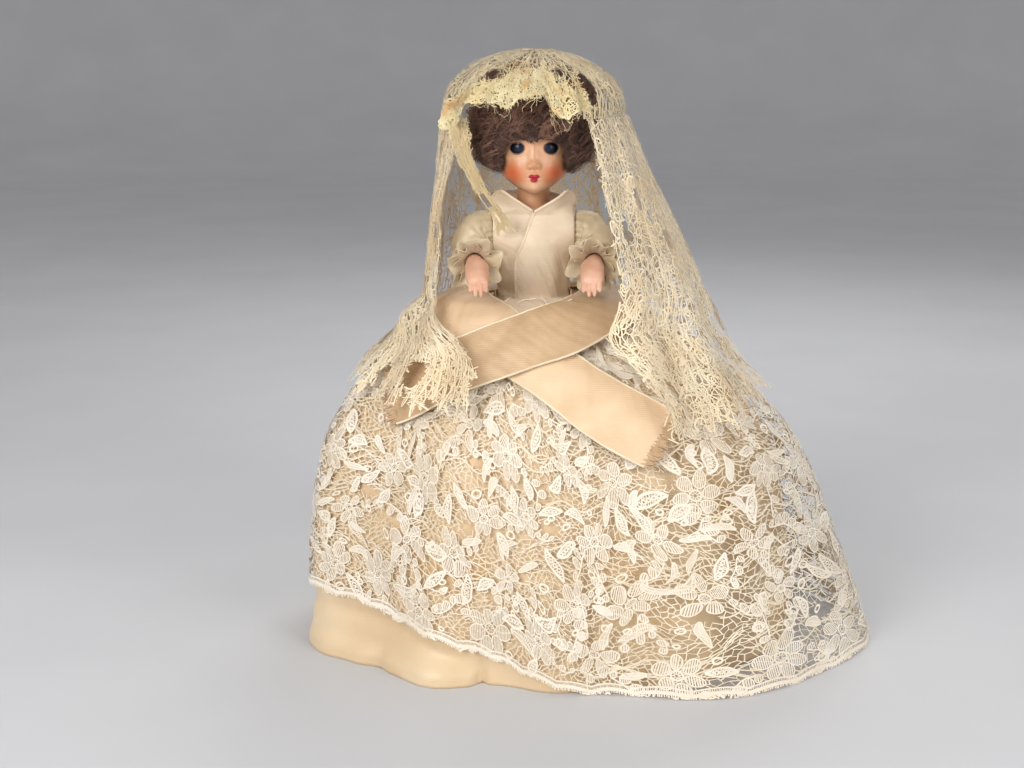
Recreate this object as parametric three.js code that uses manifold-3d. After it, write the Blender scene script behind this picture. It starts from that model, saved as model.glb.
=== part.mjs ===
// Bride doll with a turning head, sleeping eyes, strung arms and legs, and her clothes.
// Millimetres, Z up, floor at z = 0. The doll faces -Y and her own left is +X.
// Angles round the doll run from +X towards +Y.

import * as THREE from 'three';
import { mergeVertices } from 'three/addons/utils/BufferGeometryUtils.js';
import Module from 'manifold-3d';

const wasm = await Module();
wasm.setup();
const { Manifold, Mesh: SolidMesh } = wasm;

// Driving dimensions: body
const LEG_LENGTH = 88;        // floor to hip joint
const LEG_SPACING = 16.4;     // between the hip joints
const HIP_R = 6.7;            // hip ball
const FOOT_R = 4.6;           // half the width of a foot
const SOLE = 1;               // thickness of a shoe sole
const TORSO_HEIGHT = 54;      // hip joint to neck opening
const CHEST_HALF = 11.8;
const CHEST_DEPTH = 9.2;
const SHOULDER_DROP = 7;      // neck opening to shoulder axis
const ARM_REACH = 37.5;       // shoulder axis forward to the finger tips
const NECK_R = 5.2;
const CHIN_GAP = 4.8;         // neck opening to chin
const HEAD_HEIGHT = 36.5;     // chin to crown
const HEAD_HALF = 13.4;
const FACE_DEPTH = 13.6;
const SKULL_DEPTH = 16.5;
const EYE_R = 3.6;
const EYE_SPACING = 10.2;

// Driving dimensions: clothes
const HAIR = 5.6;             // thickness of the wig
const WAIST_RISE = 24;        // hip joint to waist seam
const WAIST_R = 13;
const WAISTBAND = 4;          // height of the waistband
const HEM_R = 68;             // mean radius of the skirt hem
const FOLD = 3;               // depth of the skirt folds at the hem
const TRAIN = 25;             // how far the lace trails on her left
const LACE_RISE = 17;         // how far the lace hem rides up on her right
const RIBBON_WIDTH = 15;
const VEIL_STAND = 6.2;       // how far the veil stands off the hair
const VEIL_SPREAD = 24;       // how far it opens between head and skirt
const VEIL_LENGTH = 97;       // rim to hem

// Fits
const CLEARANCE = 0.3;
const WALL = 1.4;
const CLOTH = 0.7;
const LAYER_GAP = 0.9;

// Heights and axes that follow
const HIP_Z = LEG_LENGTH;
const HIP_X = LEG_SPACING / 2;
const NECK_Z = HIP_Z + TORSO_HEIGHT;
const NECK_Y = 1;
const SHOULDER_Z = NECK_Z - SHOULDER_DROP;
const SHOULDER_Y = -2;
const WAIST_Z = HIP_Z + WAIST_RISE;
const CHIN_Z = NECK_Z + CHIN_GAP;
const EYE_LEVEL = 0.389;      // eyes between chin and crown
const EYE_Z = CHIN_Z + EYE_LEVEL * HEAD_HEIGHT;
const EYE_X = EYE_SPACING / 2;
const EYE_Y = -FACE_DEPTH * 0.83 + 0.83 * EYE_R;
const WIG_HEIGHT = HEAD_HEIGHT + 1.1 * HAIR;
const VEIL_RIM_Z = CHIN_Z + 0.663 * HEAD_HEIGHT;
const VEIL_R = SKULL_DEPTH + HAIR + VEIL_STAND + CLOTH;
const VEIL_TOP_Z = CHIN_Z + WIG_HEIGHT + CLEARANCE + CLOTH;

const rad = THREE.MathUtils.degToRad;
const mix = THREE.MathUtils.lerp;
const ramp = THREE.MathUtils.smoothstep;
const at = (x, y, z) => new THREE.Vector3(x, y, z);
const bump = (x, centre, width) => Math.exp(-(((x - centre) / width) ** 2));

// A smooth curve y(x) through the given points, with no overshoot.
function through(points) {
  const last = points.length - 1;
  const slope = [];
  for (let i = 0; i < last; i += 1) {
    slope.push((points[i + 1][1] - points[i][1]) / (points[i + 1][0] - points[i][0]));
  }
  const tangent = points.map((point, i) => {
    if (i === 0) return slope[0];
    if (i === last) return slope[last - 1];
    const product = slope[i - 1] * slope[i];
    return product <= 0 ? 0 : (2 * product) / (slope[i - 1] + slope[i]);
  });
  return (x) => {
    let i = 0;
    while (i < last - 1 && x > points[i + 1][0]) i += 1;
    const run = points[i + 1][0] - points[i][0];
    const t = THREE.MathUtils.clamp((x - points[i][0]) / run, 0, 1);
    const ease = t * t * (3 - 2 * t);
    const pull = t * (1 - t) * run;
    const bend = tangent[i] * (1 - t) - tangent[i + 1] * t;
    return mix(points[i][1], points[i + 1][1], ease) + pull * bend;
  };
}

// Mesh helpers

// Closed triangles as a geometry, turned so that the faces look outwards.
function outward(points, faces) {
  let volume = 0;
  for (let i = 0; i < faces.length; i += 3) {
    const [a, b, c] = [points[faces[i]], points[faces[i + 1]], points[faces[i + 2]]];
    volume += a.dot(b.clone().cross(c));
  }
  const order = volume < 0 ? [...faces].reverse() : faces;
  const geometry = new THREE.BufferGeometry();
  geometry.setAttribute('position', new THREE.Float32BufferAttribute(points.flatMap((p) => p.toArray()), 3));
  geometry.setIndex(order);
  return geometry;
}

// A thin closed shell between two surfaces, each a function of u and v from 0 to 1.
// A shell that goes all the way round meets itself in u.
function shell(outer, inner, columns, rows, round) {
  const across = round ? columns : columns + 1;
  const points = [];
  const faces = [];
  const lay = (surface) => {
    const start = points.length;
    for (let j = 0; j <= rows; j += 1) {
      for (let i = 0; i < across; i += 1) points.push(surface(i / columns, j / rows));
    }
    return (i, j) => start + j * across + (i % across);
  };
  const quad = (a, b, c, d) => faces.push(a, b, c, a, c, d);
  const out = lay(outer);
  const back = lay(inner);
  for (let i = 0; i < columns; i += 1) {
    for (let j = 0; j < rows; j += 1) {
      quad(out(i, j), out(i + 1, j), out(i + 1, j + 1), out(i, j + 1));
      quad(back(i, j), back(i, j + 1), back(i + 1, j + 1), back(i + 1, j));
    }
    quad(out(i, 0), back(i, 0), back(i + 1, 0), out(i + 1, 0));
    quad(out(i, rows), out(i + 1, rows), back(i + 1, rows), back(i, rows));
  }
  for (let j = 0; j < rows && !round; j += 1) {
    quad(out(0, j), out(0, j + 1), back(0, j + 1), back(0, j));
    quad(out(columns, j), back(columns, j), back(columns, j + 1), out(columns, j + 1));
  }
  return outward(points, faces);
}

// A solid through a row of rings, each a function of u from 0 to 1, capped at both ends.
function loft(rings, columns) {
  const points = rings.flatMap((ring) => Array.from({ length: columns }, (_, i) => ring(i / columns)));
  const faces = [];
  const id = (i, j) => j * columns + (i % columns);
  for (let j = 0; j + 1 < rings.length; j += 1) {
    for (let i = 0; i < columns; i += 1) {
      faces.push(id(i, j), id(i + 1, j), id(i + 1, j + 1), id(i, j), id(i + 1, j + 1), id(i, j + 1));
    }
  }
  for (const j of [0, rings.length - 1]) {
    const middle = at(0, 0, 0);
    for (let i = 0; i < columns; i += 1) middle.addScaledVector(points[id(i, j)], 1 / columns);
    points.push(middle);
    for (let i = 0; i < columns; i += 1) {
      const pair = j === 0 ? [id(i + 1, j), id(i, j)] : [id(i, j), id(i + 1, j)];
      faces.push(points.length - 1, ...pair);
    }
  }
  return outward(points, faces);
}

function toSolid(geometry) {
  const bare = new THREE.BufferGeometry();
  bare.setAttribute('position', geometry.getAttribute('position').clone());
  bare.setIndex(geometry.getIndex());
  const joined = mergeVertices(bare, 1e-4);
  const index = joined.getIndex().array;
  const corners = [];
  for (let i = 0; i < index.length; i += 3) {
    const [a, b, c] = [index[i], index[i + 1], index[i + 2]];
    if (a !== b && b !== c && c !== a) corners.push(a, b, c);
  }
  return new Manifold(new SolidMesh({
    numProp: 3,
    vertProperties: new Float32Array(joined.getAttribute('position').array),
    triVerts: new Uint32Array(corners),
  }));
}

function fromSolid(solid) {
  const mesh = solid.getMesh();
  const geometry = new THREE.BufferGeometry();
  geometry.setAttribute('position', new THREE.BufferAttribute(new Float32Array(mesh.vertProperties), 3));
  geometry.setIndex(new THREE.BufferAttribute(new Uint32Array(mesh.triVerts), 1));
  return geometry;
}

const join = (...solids) => Manifold.union(solids);
const cut = (solid, ...tools) => Manifold.difference([solid, ...tools]);

function ball(centre, r, around = 16, scale = at(1, 1, 1)) {
  const geometry = new THREE.SphereGeometry(r, around, around / 2);
  return toSolid(geometry.scale(scale.x, scale.y, scale.z).translate(centre.x, centre.y, centre.z));
}

function rod(from, to, r, around = 8) {
  const length = from.distanceTo(to);
  const geometry = new THREE.CylinderGeometry(r, r, length, around);
  const turn = new THREE.Quaternion().setFromUnitVectors(at(0, 1, 0), to.clone().sub(from).normalize());
  const middle = from.clone().add(to).multiplyScalar(0.5);
  return toSolid(geometry.applyQuaternion(turn).translate(middle.x, middle.y, middle.z));
}

function block(low, high) {
  const size = high.clone().sub(low);
  const middle = low.clone().add(high).multiplyScalar(0.5);
  return toSolid(new THREE.BoxGeometry(size.x, size.y, size.z).translate(middle.x, middle.y, middle.z));
}

// A wire eye: a ring whose plane holds the given direction.
function wireEye(centre, r, wire, direction) {
  const geometry = new THREE.TorusGeometry(r, wire, 5, 10);
  if (Math.abs(direction.z) > 0.5) geometry.rotateX(Math.PI / 2);
  return toSolid(geometry.translate(centre.x, centre.y, centre.z));
}

const group = new THREE.Group();
group.name = 'bride_doll';

function add(name, form, colour, roughness, metalness = 0) {
  const geometry = form.isBufferGeometry ? form : fromSolid(form);
  geometry.computeVertexNormals();
  const material = new THREE.MeshStandardMaterial({ color: colour, roughness, metalness, name });
  const mesh = new THREE.Mesh(geometry, material);
  mesh.name = name;
  group.add(mesh);
}

const FLESH = '#d9a78a';
const IVORY = '#e6d8b8';
const LACE = '#efe6d2';
const VEIL = '#dccb9c';
const WIRE = '#8c8a86';

// Torso: an egg of rings, hollow, with a neck opening, arm holes and hip sockets

const torsoHalf = through([[-0.02, 0.86], [0.08, 1.06], [0.22, 1.02], [0.37, 0.89], [0.48, 0.865], [0.63, 0.95],
  [0.78, 1], [0.89, 0.975], [0.963, 0.79], [1, 0.58]]);
const torsoFront = through([[-0.02, 0.78], [0.08, 0.98], [0.22, 0.92], [0.37, 0.87], [0.48, 0.9], [0.63, 1],
  [0.78, 1], [0.89, 0.87], [0.963, 0.72], [1, 0.56]]);
const torsoBack = through([[-0.02, 0.9], [0.08, 1.09], [0.22, 0.98], [0.37, 0.87], [0.48, 0.815], [0.78, 0.815],
  [0.89, 0.8], [1, 0.78]]);

// A point on the torso at an angle and height, moved out by a lift.
function torsoPoint(angle, z, lift) {
  const share = (z - HIP_Z) / TORSO_HEIGHT;
  const depth = CHEST_DEPTH * (Math.sin(angle) < 0 ? torsoFront(share) : torsoBack(share));
  const half = CHEST_HALF * torsoHalf(share);
  return at((half + lift) * Math.cos(angle), (depth + lift) * Math.sin(angle), z);
}

function torsoLoft(low, high, rows, lift) {
  const rings = [];
  for (let j = 0; j <= rows; j += 1) {
    const z = mix(low, high, j / rows);
    rings.push((u) => torsoPoint(2 * Math.PI * u, z, lift));
  }
  return toSolid(loft(rings, 18));
}

const torsoOuter = torsoLoft(HIP_Z - 1, NECK_Z, 10, 0);
const torsoInner = torsoLoft(HIP_Z + WALL, NECK_Z - 1.5 * WALL, 6, -WALL);
const hookX = HIP_X - 2.2;
let torso = cut(torsoOuter, torsoInner);
for (const side of [-1, 1]) {
  const hip = at(side * HIP_X, NECK_Y, HIP_Z);
  const cup = ball(hip, HIP_R + CLEARANCE + WALL, 14);
  torso = join(torso, cup.intersect(torsoOuter));
}
for (const side of [-1, 1]) {
  const hip = at(side * HIP_X, NECK_Y, HIP_Z);
  const slotLow = at(side * hookX - 1.7, NECK_Y - 5.5, HIP_Z);
  const slotHigh = at(side * hookX + 1.7, NECK_Y + 5.5, HIP_Z + HIP_R + 4);
  const shoulder = at(side * 4, SHOULDER_Y, SHOULDER_Z);
  const beyond = at(side * (CHEST_HALF + 5), SHOULDER_Y, SHOULDER_Z);
  torso = cut(torso, ball(hip, HIP_R + CLEARANCE, 14), block(slotLow, slotHigh), rod(shoulder, beyond, 1.8, 8));
}
const throat = rod(at(0, NECK_Y, NECK_Z - 6), at(0, NECK_Y, NECK_Z + 2), NECK_R + CLEARANCE, 16);
add('torso_shell', cut(torso, throat), FLESH, 0.5);

// Head: rings with the features of the face raised on the front

const headWide = through([[0, 0.22], [0.05, 0.47], [0.14, 0.68], [0.28, 0.86], [0.45, 0.96], [0.62, 1],
  [0.78, 0.93], [0.9, 0.7], [0.97, 0.4], [1, 0.1]]);
const headFront = through([[0, 0.66], [0.05, 0.86], [0.14, 0.97], [0.28, 0.97], [0.45, 0.96], [0.6, 1],
  [0.75, 0.95], [0.88, 0.72], [0.96, 0.42], [1, 0.1]]);
const headBack = through([[0, 0.02], [0.05, 0.12], [0.14, 0.32], [0.28, 0.62], [0.45, 0.88], [0.62, 1],
  [0.78, 0.95], [0.9, 0.72], [0.97, 0.42], [1, 0.1]]);

function features(x, share) {
  const across = x / HEAD_HALF;
  const nose = 2.2 * bump(across, 0, 0.15) * bump(share, 0.258, 0.055);
  const lips = 0.8 * bump(across, 0, 0.19) * bump(share, 0.142, 0.03);
  const chin = 0.7 * bump(across, 0, 0.3) * bump(share, 0.045, 0.05);
  const cheeks = 0.5 * bump(Math.abs(across), 0.52, 0.22) * bump(share, 0.2, 0.1);
  const sockets = 0.7 * bump(Math.abs(x), EYE_X, 3.4) * bump(share, EYE_LEVEL, 0.085);
  return nose + lips + chin + cheeks - sockets;
}

function headPoint(angle, share, grow, featured) {
  const facing = Math.sin(angle) < 0;
  const depth = facing ? FACE_DEPTH * headFront(share) : SKULL_DEPTH * headBack(share);
  const x = Math.max(HEAD_HALF * headWide(share) + grow, 0.4) * Math.cos(angle);
  const y = Math.max(depth + grow, 0.4) * Math.sin(angle);
  const relief = facing && featured ? features(x, share) * -Math.sin(angle) : 0;
  return at(x, y - relief, CHIN_Z + HEAD_HEIGHT * share + grow * share);
}

function headLoft(low, high, rows, columns, grow, featured) {
  const rings = [];
  for (let j = 0; j <= rows; j += 1) {
    const share = mix(low, high, j / rows);
    rings.push((u) => headPoint(2 * Math.PI * u, share, grow, featured));
  }
  return toSolid(loft(rings, columns));
}

const seatZ = CHIN_Z + 3;
const eyeAt = (side) => at(side * EYE_X, EYE_Y, EYE_Z);
const headOuter = headLoft(0, 1, 14, 22, 0, true);
const stub = rod(at(0, NECK_Y, NECK_Z - 4), at(0, NECK_Y, seatZ), NECK_R, 16);
let head = join(cut(headOuter, headLoft(0.07, 0.95, 6, 12, -WALL, false)), stub);
for (const side of [-1, 1]) {
  head = join(head, ball(eyeAt(side), EYE_R + CLEARANCE + 1.2, 12).intersect(headOuter));
}
for (const side of [-1, 1]) {
  const behind = eyeAt(side).add(at(0, 9, 0));
  head = cut(head, ball(eyeAt(side), EYE_R + CLEARANCE, 12), rod(eyeAt(side), behind, 2.4, 8));
}
const rockerSlot = block(at(-1.4, EYE_Y - 1.6, EYE_Z - 11), at(1.4, EYE_Y + 14, EYE_Z + 2.5));
const rockerHole = rod(eyeAt(-1), eyeAt(1), 1.1, 10);
const bore = rod(at(0, NECK_Y, NECK_Z - 6), at(0, NECK_Y, CHIN_Z + 9), 3.2, 12);
add('head_shell', cut(head, rockerSlot, rockerHole, bore), FLESH, 0.45);

const axle = 0.6;
for (const [name, side] of [['left_eye', 1], ['right_eye', -1]]) {
  const inside = eyeAt(side).sub(at(side * 1.2, 0, 0));
  const hole = rod(inside, eyeAt(side).sub(at(side * 6, 0, 0)), axle + 0.15, 6);
  add(name, cut(ball(eyeAt(side), EYE_R, 14), hole), '#1d2230', 0.15);
}
const weightTurn = rad(20);
const weightAt = (reach) => at(0, EYE_Y + reach * Math.sin(weightTurn), EYE_Z - reach * Math.cos(weightTurn));
const axleEnd = eyeAt(1).sub(at(1.5, 0, 0));
const axleStart = eyeAt(-1).add(at(1.5, 0, 0));
const rocker = join(rod(axleStart, axleEnd, axle), rod(weightAt(0), weightAt(6.2), axle));
add('eye_rocker', rocker, WIRE, 0.4, 0.8);
add('eye_weight', cut(ball(weightAt(7.6), 2.1, 12), rod(weightAt(0), weightAt(6.5), axle + 0.15)), '#6d6f73', 0.6, 0.6);

// Neck hook: a bar across the top of the neck, a stem and an eye for the elastic

const hookEyeZ = NECK_Z - 5.4;
const barZ = seatZ + 0.8 + CLEARANCE;
add('neck_hook', join(
  rod(at(-3.9, NECK_Y, barZ), at(3.9, NECK_Y, barZ), 0.8),
  rod(at(0, NECK_Y, hookEyeZ + 1.5), at(0, NECK_Y, barZ), 0.8),
  wireEye(at(0, NECK_Y, hookEyeZ), 1.6, 0.5, at(0, 0, 1)),
), WIRE, 0.4, 0.8);

// Wig: a bob of hair over the skull, open round the face

const WIG_FOOT = 0.155;
const wigWide = through([[WIG_FOOT, 0.8], [0.25, 0.94], [0.44, 1], [0.67, 0.96], [0.85, 0.75], [0.95, 0.42], [1, 0.08]]);
const wigFront = through([[WIG_FOOT, 0.64], [0.3, 0.85], [0.44, 0.95], [0.6, 1], [0.75, 0.95], [0.88, 0.7],
  [0.96, 0.4], [1, 0.08]]);
const wigBack = through([[WIG_FOOT, 0.66], [0.25, 0.86], [0.45, 1], [0.67, 0.97], [0.85, 0.75], [0.95, 0.42], [1, 0.08]]);

function wigPoint(angle, share) {
  const facing = Math.sin(angle) < 0;
  const depth = facing ? (FACE_DEPTH + 0.76 * HAIR) * wigFront(share) : (SKULL_DEPTH + HAIR) * wigBack(share);
  const curl = 1 + 0.018 * Math.cos(9 * angle) * Math.sin(14 * share);
  const half = (HEAD_HALF + HAIR) * wigWide(share) * curl;
  return at(half * Math.cos(angle), depth * curl * Math.sin(angle), CHIN_Z + WIG_HEIGHT * share);
}

const wigRings = [];
for (let j = 0; j <= 8; j += 1) {
  const share = mix(WIG_FOOT, 1, j / 8);
  wigRings.push((u) => wigPoint(2 * Math.PI * u, share));
}
const hairline = CHIN_Z + 0.463 * HEAD_HEIGHT;
const windowHalf = 0.74 * HEAD_HALF;
const arch = new THREE.Shape();
arch.moveTo(-windowHalf, CHIN_Z - 10);
arch.lineTo(windowHalf, CHIN_Z - 10);
arch.lineTo(windowHalf, hairline - 5);
arch.quadraticCurveTo(windowHalf, hairline, windowHalf - 5, hairline);
arch.lineTo(5 - windowHalf, hairline);
arch.quadraticCurveTo(-windowHalf, hairline, -windowHalf, hairline - 5);
const faceWindow = new THREE.ExtrudeGeometry(arch, { depth: 60, bevelEnabled: false, curveSegments: 4 });
const wig = cut(
  toSolid(loft(wigRings, 24)),
  headLoft(0, 1, 12, 20, 3 * CLEARANCE, false),
  toSolid(faceWindow.rotateX(Math.PI / 2)),
);
add('wig', wig, '#3a2418', 0.9);

// Arms: one curve from the shoulder to the finger tips, hung on a hinge through both shoulders

const ARM_STATIONS = [
  [0, 0, 0, 4.2, 4.2],
  [3.7, -0.2, -0.3, 4.4, 4.4],
  [6.8, -1.5, -4, 4, 4],
  [7.2, -6, -9.5, 3.6, 3.6],
  [7.2, -13, -10, 3.3, 3.2],
  [6.1, -22, -7.5, 2.6, 2.5],
  [5.5, -27, -8.2, 3.4, 2.6],
  [5.1, -31, -10, 3.6, 2.4],
  [4.8, -35, -13, 3, 1.9],
  [4.7, -37.5, -15.5, 1.5, 1],
];
const armStart = CHEST_HALF + CLEARANCE;
const armLast = ARM_STATIONS.length - 1;
const ARM_SCALE = ARM_REACH / -ARM_STATIONS[armLast][1];
const armCurve = new THREE.CatmullRomCurve3(ARM_STATIONS.map(([x, y, z]) => at(
  armStart + x * ARM_SCALE,
  SHOULDER_Y + y * ARM_SCALE,
  SHOULDER_Z + z * ARM_SCALE,
)));
const armWide = through(ARM_STATIONS.map((station, i) => [i / armLast, station[3] * ARM_SCALE]));
const armThick = through(ARM_STATIONS.map((station, i) => [i / armLast, station[4] * ARM_SCALE]));

// A point on a ring round the arm's centre line, with the given half-width and half-thickness.
function armPoint(side, v, u, wide, thick) {
  const centre = armCurve.getPoint(v);
  const along = v === 0 ? at(1, 0, 0) : armCurve.getTangent(v);
  const across = at(0, -0.4, 0.9).cross(along).normalize();
  const over = along.clone().cross(across).normalize();
  const turn = 2 * Math.PI * u;
  centre.addScaledVector(across, wide * Math.cos(turn)).addScaledVector(over, thick * Math.sin(turn));
  return at(side * centre.x, centre.y, centre.z);
}

const sleeveFull = through([[0.12, 5.2], [0.22, 5.7], [0.33, 5.7], [0.44, 5.9], [0.5, 5.6], [0.545, 3.4]]);
const SLEEVE_START = 0.12;
const SLEEVE_END = 0.545;
const FRILL_END = 0.66;

function sleevePoint(side, u, v, lift) {
  const place = mix(SLEEVE_START, SLEEVE_END, v);
  const gather = 0.35 * Math.cos(7 * 2 * Math.PI * u) * Math.sin(Math.PI * v);
  const r = Math.max(sleeveFull(place) * ARM_SCALE, armWide(place) + 2 * CLEARANCE) + gather + lift;
  return armPoint(side, place, u, r, r);
}

function frillPoint(side, u, v, lift) {
  const place = mix(SLEEVE_END + 0.008, FRILL_END, v);
  const ripple = 1.1 * v * Math.cos(6 * 2 * Math.PI * u);
  const r = mix(3.6, 7.4, v) * ARM_SCALE + ripple + lift;
  return armPoint(side, place, u, r, r);
}

for (const [name, side] of [['left', 1], ['right', -1]]) {
  const rings = [];
  for (let j = 0; j <= 12; j += 1) {
    rings.push((u) => armPoint(side, j / 12, u, armWide(j / 12), armThick(j / 12)));
  }
  const socket = rod(
    at(side * (armStart - 1), SHOULDER_Y, SHOULDER_Z),
    at(side * (armStart + 4), SHOULDER_Y, SHOULDER_Z),
    0.75,
  );
  add(`${name}_arm`, cut(toSolid(loft(rings, 10)), socket), FLESH, 0.5);
  add(`${name}_arm_hook`, join(
    rod(at(side * (armStart - 2.8), SHOULDER_Y, SHOULDER_Z), at(side * (armStart + 3.6), SHOULDER_Y, SHOULDER_Z), 0.6),
    wireEye(at(side * (armStart - 4), SHOULDER_Y, SHOULDER_Z), 1.2, 0.4, at(0, 0, 1)),
  ), WIRE, 0.4, 0.8);
  add(`${name}_sleeve`, shell(
    (u, v) => sleevePoint(side, u, v, CLOTH),
    (u, v) => sleevePoint(side, u, v, 0),
    14,
    8,
    true,
  ), IVORY, 0.55);
  add(`${name}_cuff_frill`, shell(
    (u, v) => frillPoint(side, u, v, CLOTH),
    (u, v) => frillPoint(side, u, v, 0),
    24,
    2,
    true,
  ), IVORY, 0.6);
}
const elasticHalf = armStart - 4 - 1.2 - 0.4 - 0.2;
add('arm_elastic', rod(
  at(-elasticHalf, SHOULDER_Y, SHOULDER_Z),
  at(elasticHalf, SHOULDER_Y, SHOULDER_Z),
  0.8,
), '#e9e4d8', 0.9);

// Legs and shoes: each leg swings on its hip ball

const legR = through([[0.1, 2.9], [0.16, 2.9], [0.32, 4.6], [0.5, 4.2], [0.54, 4.4], [0.78, 5.4], [0.97, 5.5]]);
const legHookZ = HIP_Z + HIP_R + 2;
for (const [name, side] of [['left', 1], ['right', -1]]) {
  const x = side * HIP_X;
  const rings = [];
  for (let j = 0; j <= 7; j += 1) {
    const share = mix(0.06, 0.97, j / 7);
    const r = legR(share);
    rings.push((u) => at(
      x + r * Math.cos(2 * Math.PI * u),
      NECK_Y + r * Math.sin(2 * Math.PI * u),
      share * LEG_LENGTH,
    ));
  }
  const ankle = at(x, NECK_Y - 5.5, SOLE + CLEARANCE + FOOT_R);
  const foot = ball(ankle, FOOT_R, 10, at(1, 2, 1));
  const footRoom = ball(ankle, FOOT_R + CLEARANCE, 10, at(1, 1.97, 1));
  const hole = rod(at(side * hookX, NECK_Y, HIP_Z + 2), at(side * hookX, NECK_Y, HIP_Z + 9), 0.75);
  const leg = join(toSolid(loft(rings, 10)), ball(at(x, NECK_Y, HIP_Z), HIP_R, 14), foot);
  add(`${name}_leg`, cut(leg, hole), FLESH, 0.5);
  add(`${name}_leg_hook`, join(
    rod(at(side * hookX, NECK_Y, HIP_Z + 2.4), at(side * hookX, NECK_Y, legHookZ - 0.8), 0.6),
    wireEye(at(side * hookX, NECK_Y, legHookZ), 1, 0.4, at(0, 0, 1)),
  ), WIRE, 0.4, 0.8);
  const upper = ball(ankle, FOOT_R + 1.6, 12, at(1, 1.82, 1));
  const sole = new THREE.CylinderGeometry(FOOT_R + 0.6, FOOT_R + 0.6, SOLE, 20).rotateX(Math.PI / 2).scale(1, 1.95, 1);
  const shoe = cut(
    join(upper, toSolid(sole.translate(x, ankle.y, SOLE / 2))),
    footRoom,
    rod(at(x, NECK_Y, 3), at(x, NECK_Y, 20), 3.5, 8),
    block(at(x - 9, -30, -5), at(x + 9, 20, 0)),
    block(at(x - 9, -30, ankle.z + 1.7), at(x + 9, 20, 20)),
  );
  add(`${name}_shoe`, shoe, '#efe9dd', 0.4);
}
const stringTop = hookEyeZ - 1.6 - 0.5 - 0.3 - 0.9;
const stringFoot = legHookZ + 1.4 + 0.9 + 0.4;
add('leg_elastic', join(
  rod(at(hookX, NECK_Y, stringFoot), at(0.6, NECK_Y, stringTop), 0.8),
  rod(at(-hookX, NECK_Y, stringFoot), at(-0.6, NECK_Y, stringTop), 0.8),
  ball(at(0, NECK_Y, stringTop), 0.9, 10),
), '#e9e4d8', 0.9);

// Bodice: a back and two fronts that cross at the breast, with a collar standing round the neck

const BODICE_LOW = WAIST_Z + 0.8;
const COLLAR_Z = NECK_Z + 5.5;
const BODICE_GAP = 0.5;
const collarTurn = NECK_Z - 2;

function bodicePoint(angle, z, lift) {
  const point = torsoPoint(angle, Math.min(z, collarTurn), BODICE_GAP + lift);
  const flare = Math.max(0, z - collarTurn) * 0.06;
  return at(point.x * (1 + flare), point.y * (1 + flare), z);
}

// Shell between two edge angles that change with height, each in degrees.
function bodicePanel(startEdge, endEdge, topEdge, layer, columns) {
  const surface = (lift) => (u, v) => {
    const z0 = mix(BODICE_LOW, COLLAR_Z, v);
    const angle = mix(startEdge(z0), endEdge(z0), u);
    const z = mix(BODICE_LOW, topEdge(angle), v);
    return bodicePoint(rad(angle), z, lift + layer(angle));
  };
  return toSolid(shell(surface(CLOTH), surface(0), columns, 8, false));
}

const collarTop = (angle) => COLLAR_Z - 5.2 * bump(angle, -90, 24);
const fromNeck = (drop) => NECK_Z - drop;
const leftEdge = through([[BODICE_LOW, -112], [fromNeck(13), -108], [fromNeck(4), -95], [COLLAR_Z, -74]]);
const rightEdge = through([[BODICE_LOW, -80], [fromNeck(13), -80], [fromNeck(4), -88], [COLLAR_Z, -106]]);
const overlap = (angle) => (CLOTH + 0.5) * ramp(-angle, 38, 66);
const holes = [-1, 1].map((side) => rod(
  at(side * 6, SHOULDER_Y, SHOULDER_Z),
  at(side * (CHEST_HALF + 9), SHOULDER_Y, SHOULDER_Z),
  5.3 * ARM_SCALE,
  12,
));
const flat = () => 0;
const SEAM = 1.2;             // half the gap at a side seam, in degrees
const backPanel = bodicePanel(() => SEAM, () => 180 - SEAM, collarTop, flat, 11);
const leftPanel = bodicePanel(() => -SEAM, leftEdge, collarTop, overlap, 9);
const rightPanel = bodicePanel(() => SEAM - 180, rightEdge, collarTop, flat, 8);
add('bodice_back', cut(backPanel, ...holes), IVORY, 0.5);
add('bodice_left_front', cut(leftPanel, ...holes), IVORY, 0.5);
add('bodice_right_front', cut(rightPanel, ...holes), IVORY, 0.5);

add('waistband', shell(
  (u, v) => at(
    (WAIST_R - CLEARANCE) * Math.cos(2 * Math.PI * u),
    (WAIST_R - CLEARANCE) * Math.sin(2 * Math.PI * u),
    mix(WAIST_Z - WAISTBAND, WAIST_Z, v),
  ),
  (u, v) => torsoPoint(2 * Math.PI * u, mix(WAIST_Z - WAISTBAND, WAIST_Z, v), CLEARANCE),
  24,
  1,
  true,
), IVORY, 0.6);

// Skirts: one bell profile, gathered at the waist, that every layer is laid on

const bell = through([[0, 1], [0.22, 0.98], [0.4, 0.95], [0.58, 0.89], [0.7, 0.77], [0.8, 0.62], [0.9, 0.42],
  [0.97, 0.25], [0.99, 0.1], [1, 0]]);
const SKIRT_COLUMNS = 40;
const SKIRT_ROWS = [1, 0.99, 0.97, 0.93, 0.86, 0.77, 0.66, 0.52, 0.3, 0];

// The hem's footprint: degrees round the doll and share of the mean radius, drawn in at the front.
const HEM_SHAPE = [[-172, 1.08], [-150, 0.9], [-125, 0.79], [-100, 0.76], [-75, 0.79], [-50, 0.93], [-25, 1.12],
  [5, 1.25], [40, 1.19], [90, 1.01], [140, 1.04]];
const turned = (degrees) => HEM_SHAPE.map(([angle, share]) => [angle + degrees, share]);
const hemShare = through([...turned(-360), ...turned(0), ...turned(360)]);

function hemRadius(angle) {
  return HEM_R * hemShare(THREE.MathUtils.radToDeg(angle));
}

function folds(angle) {
  return 0.6 * Math.cos(9 * angle + 0.6) + 0.4 * Math.cos(5 * angle - 1.1);
}

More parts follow.
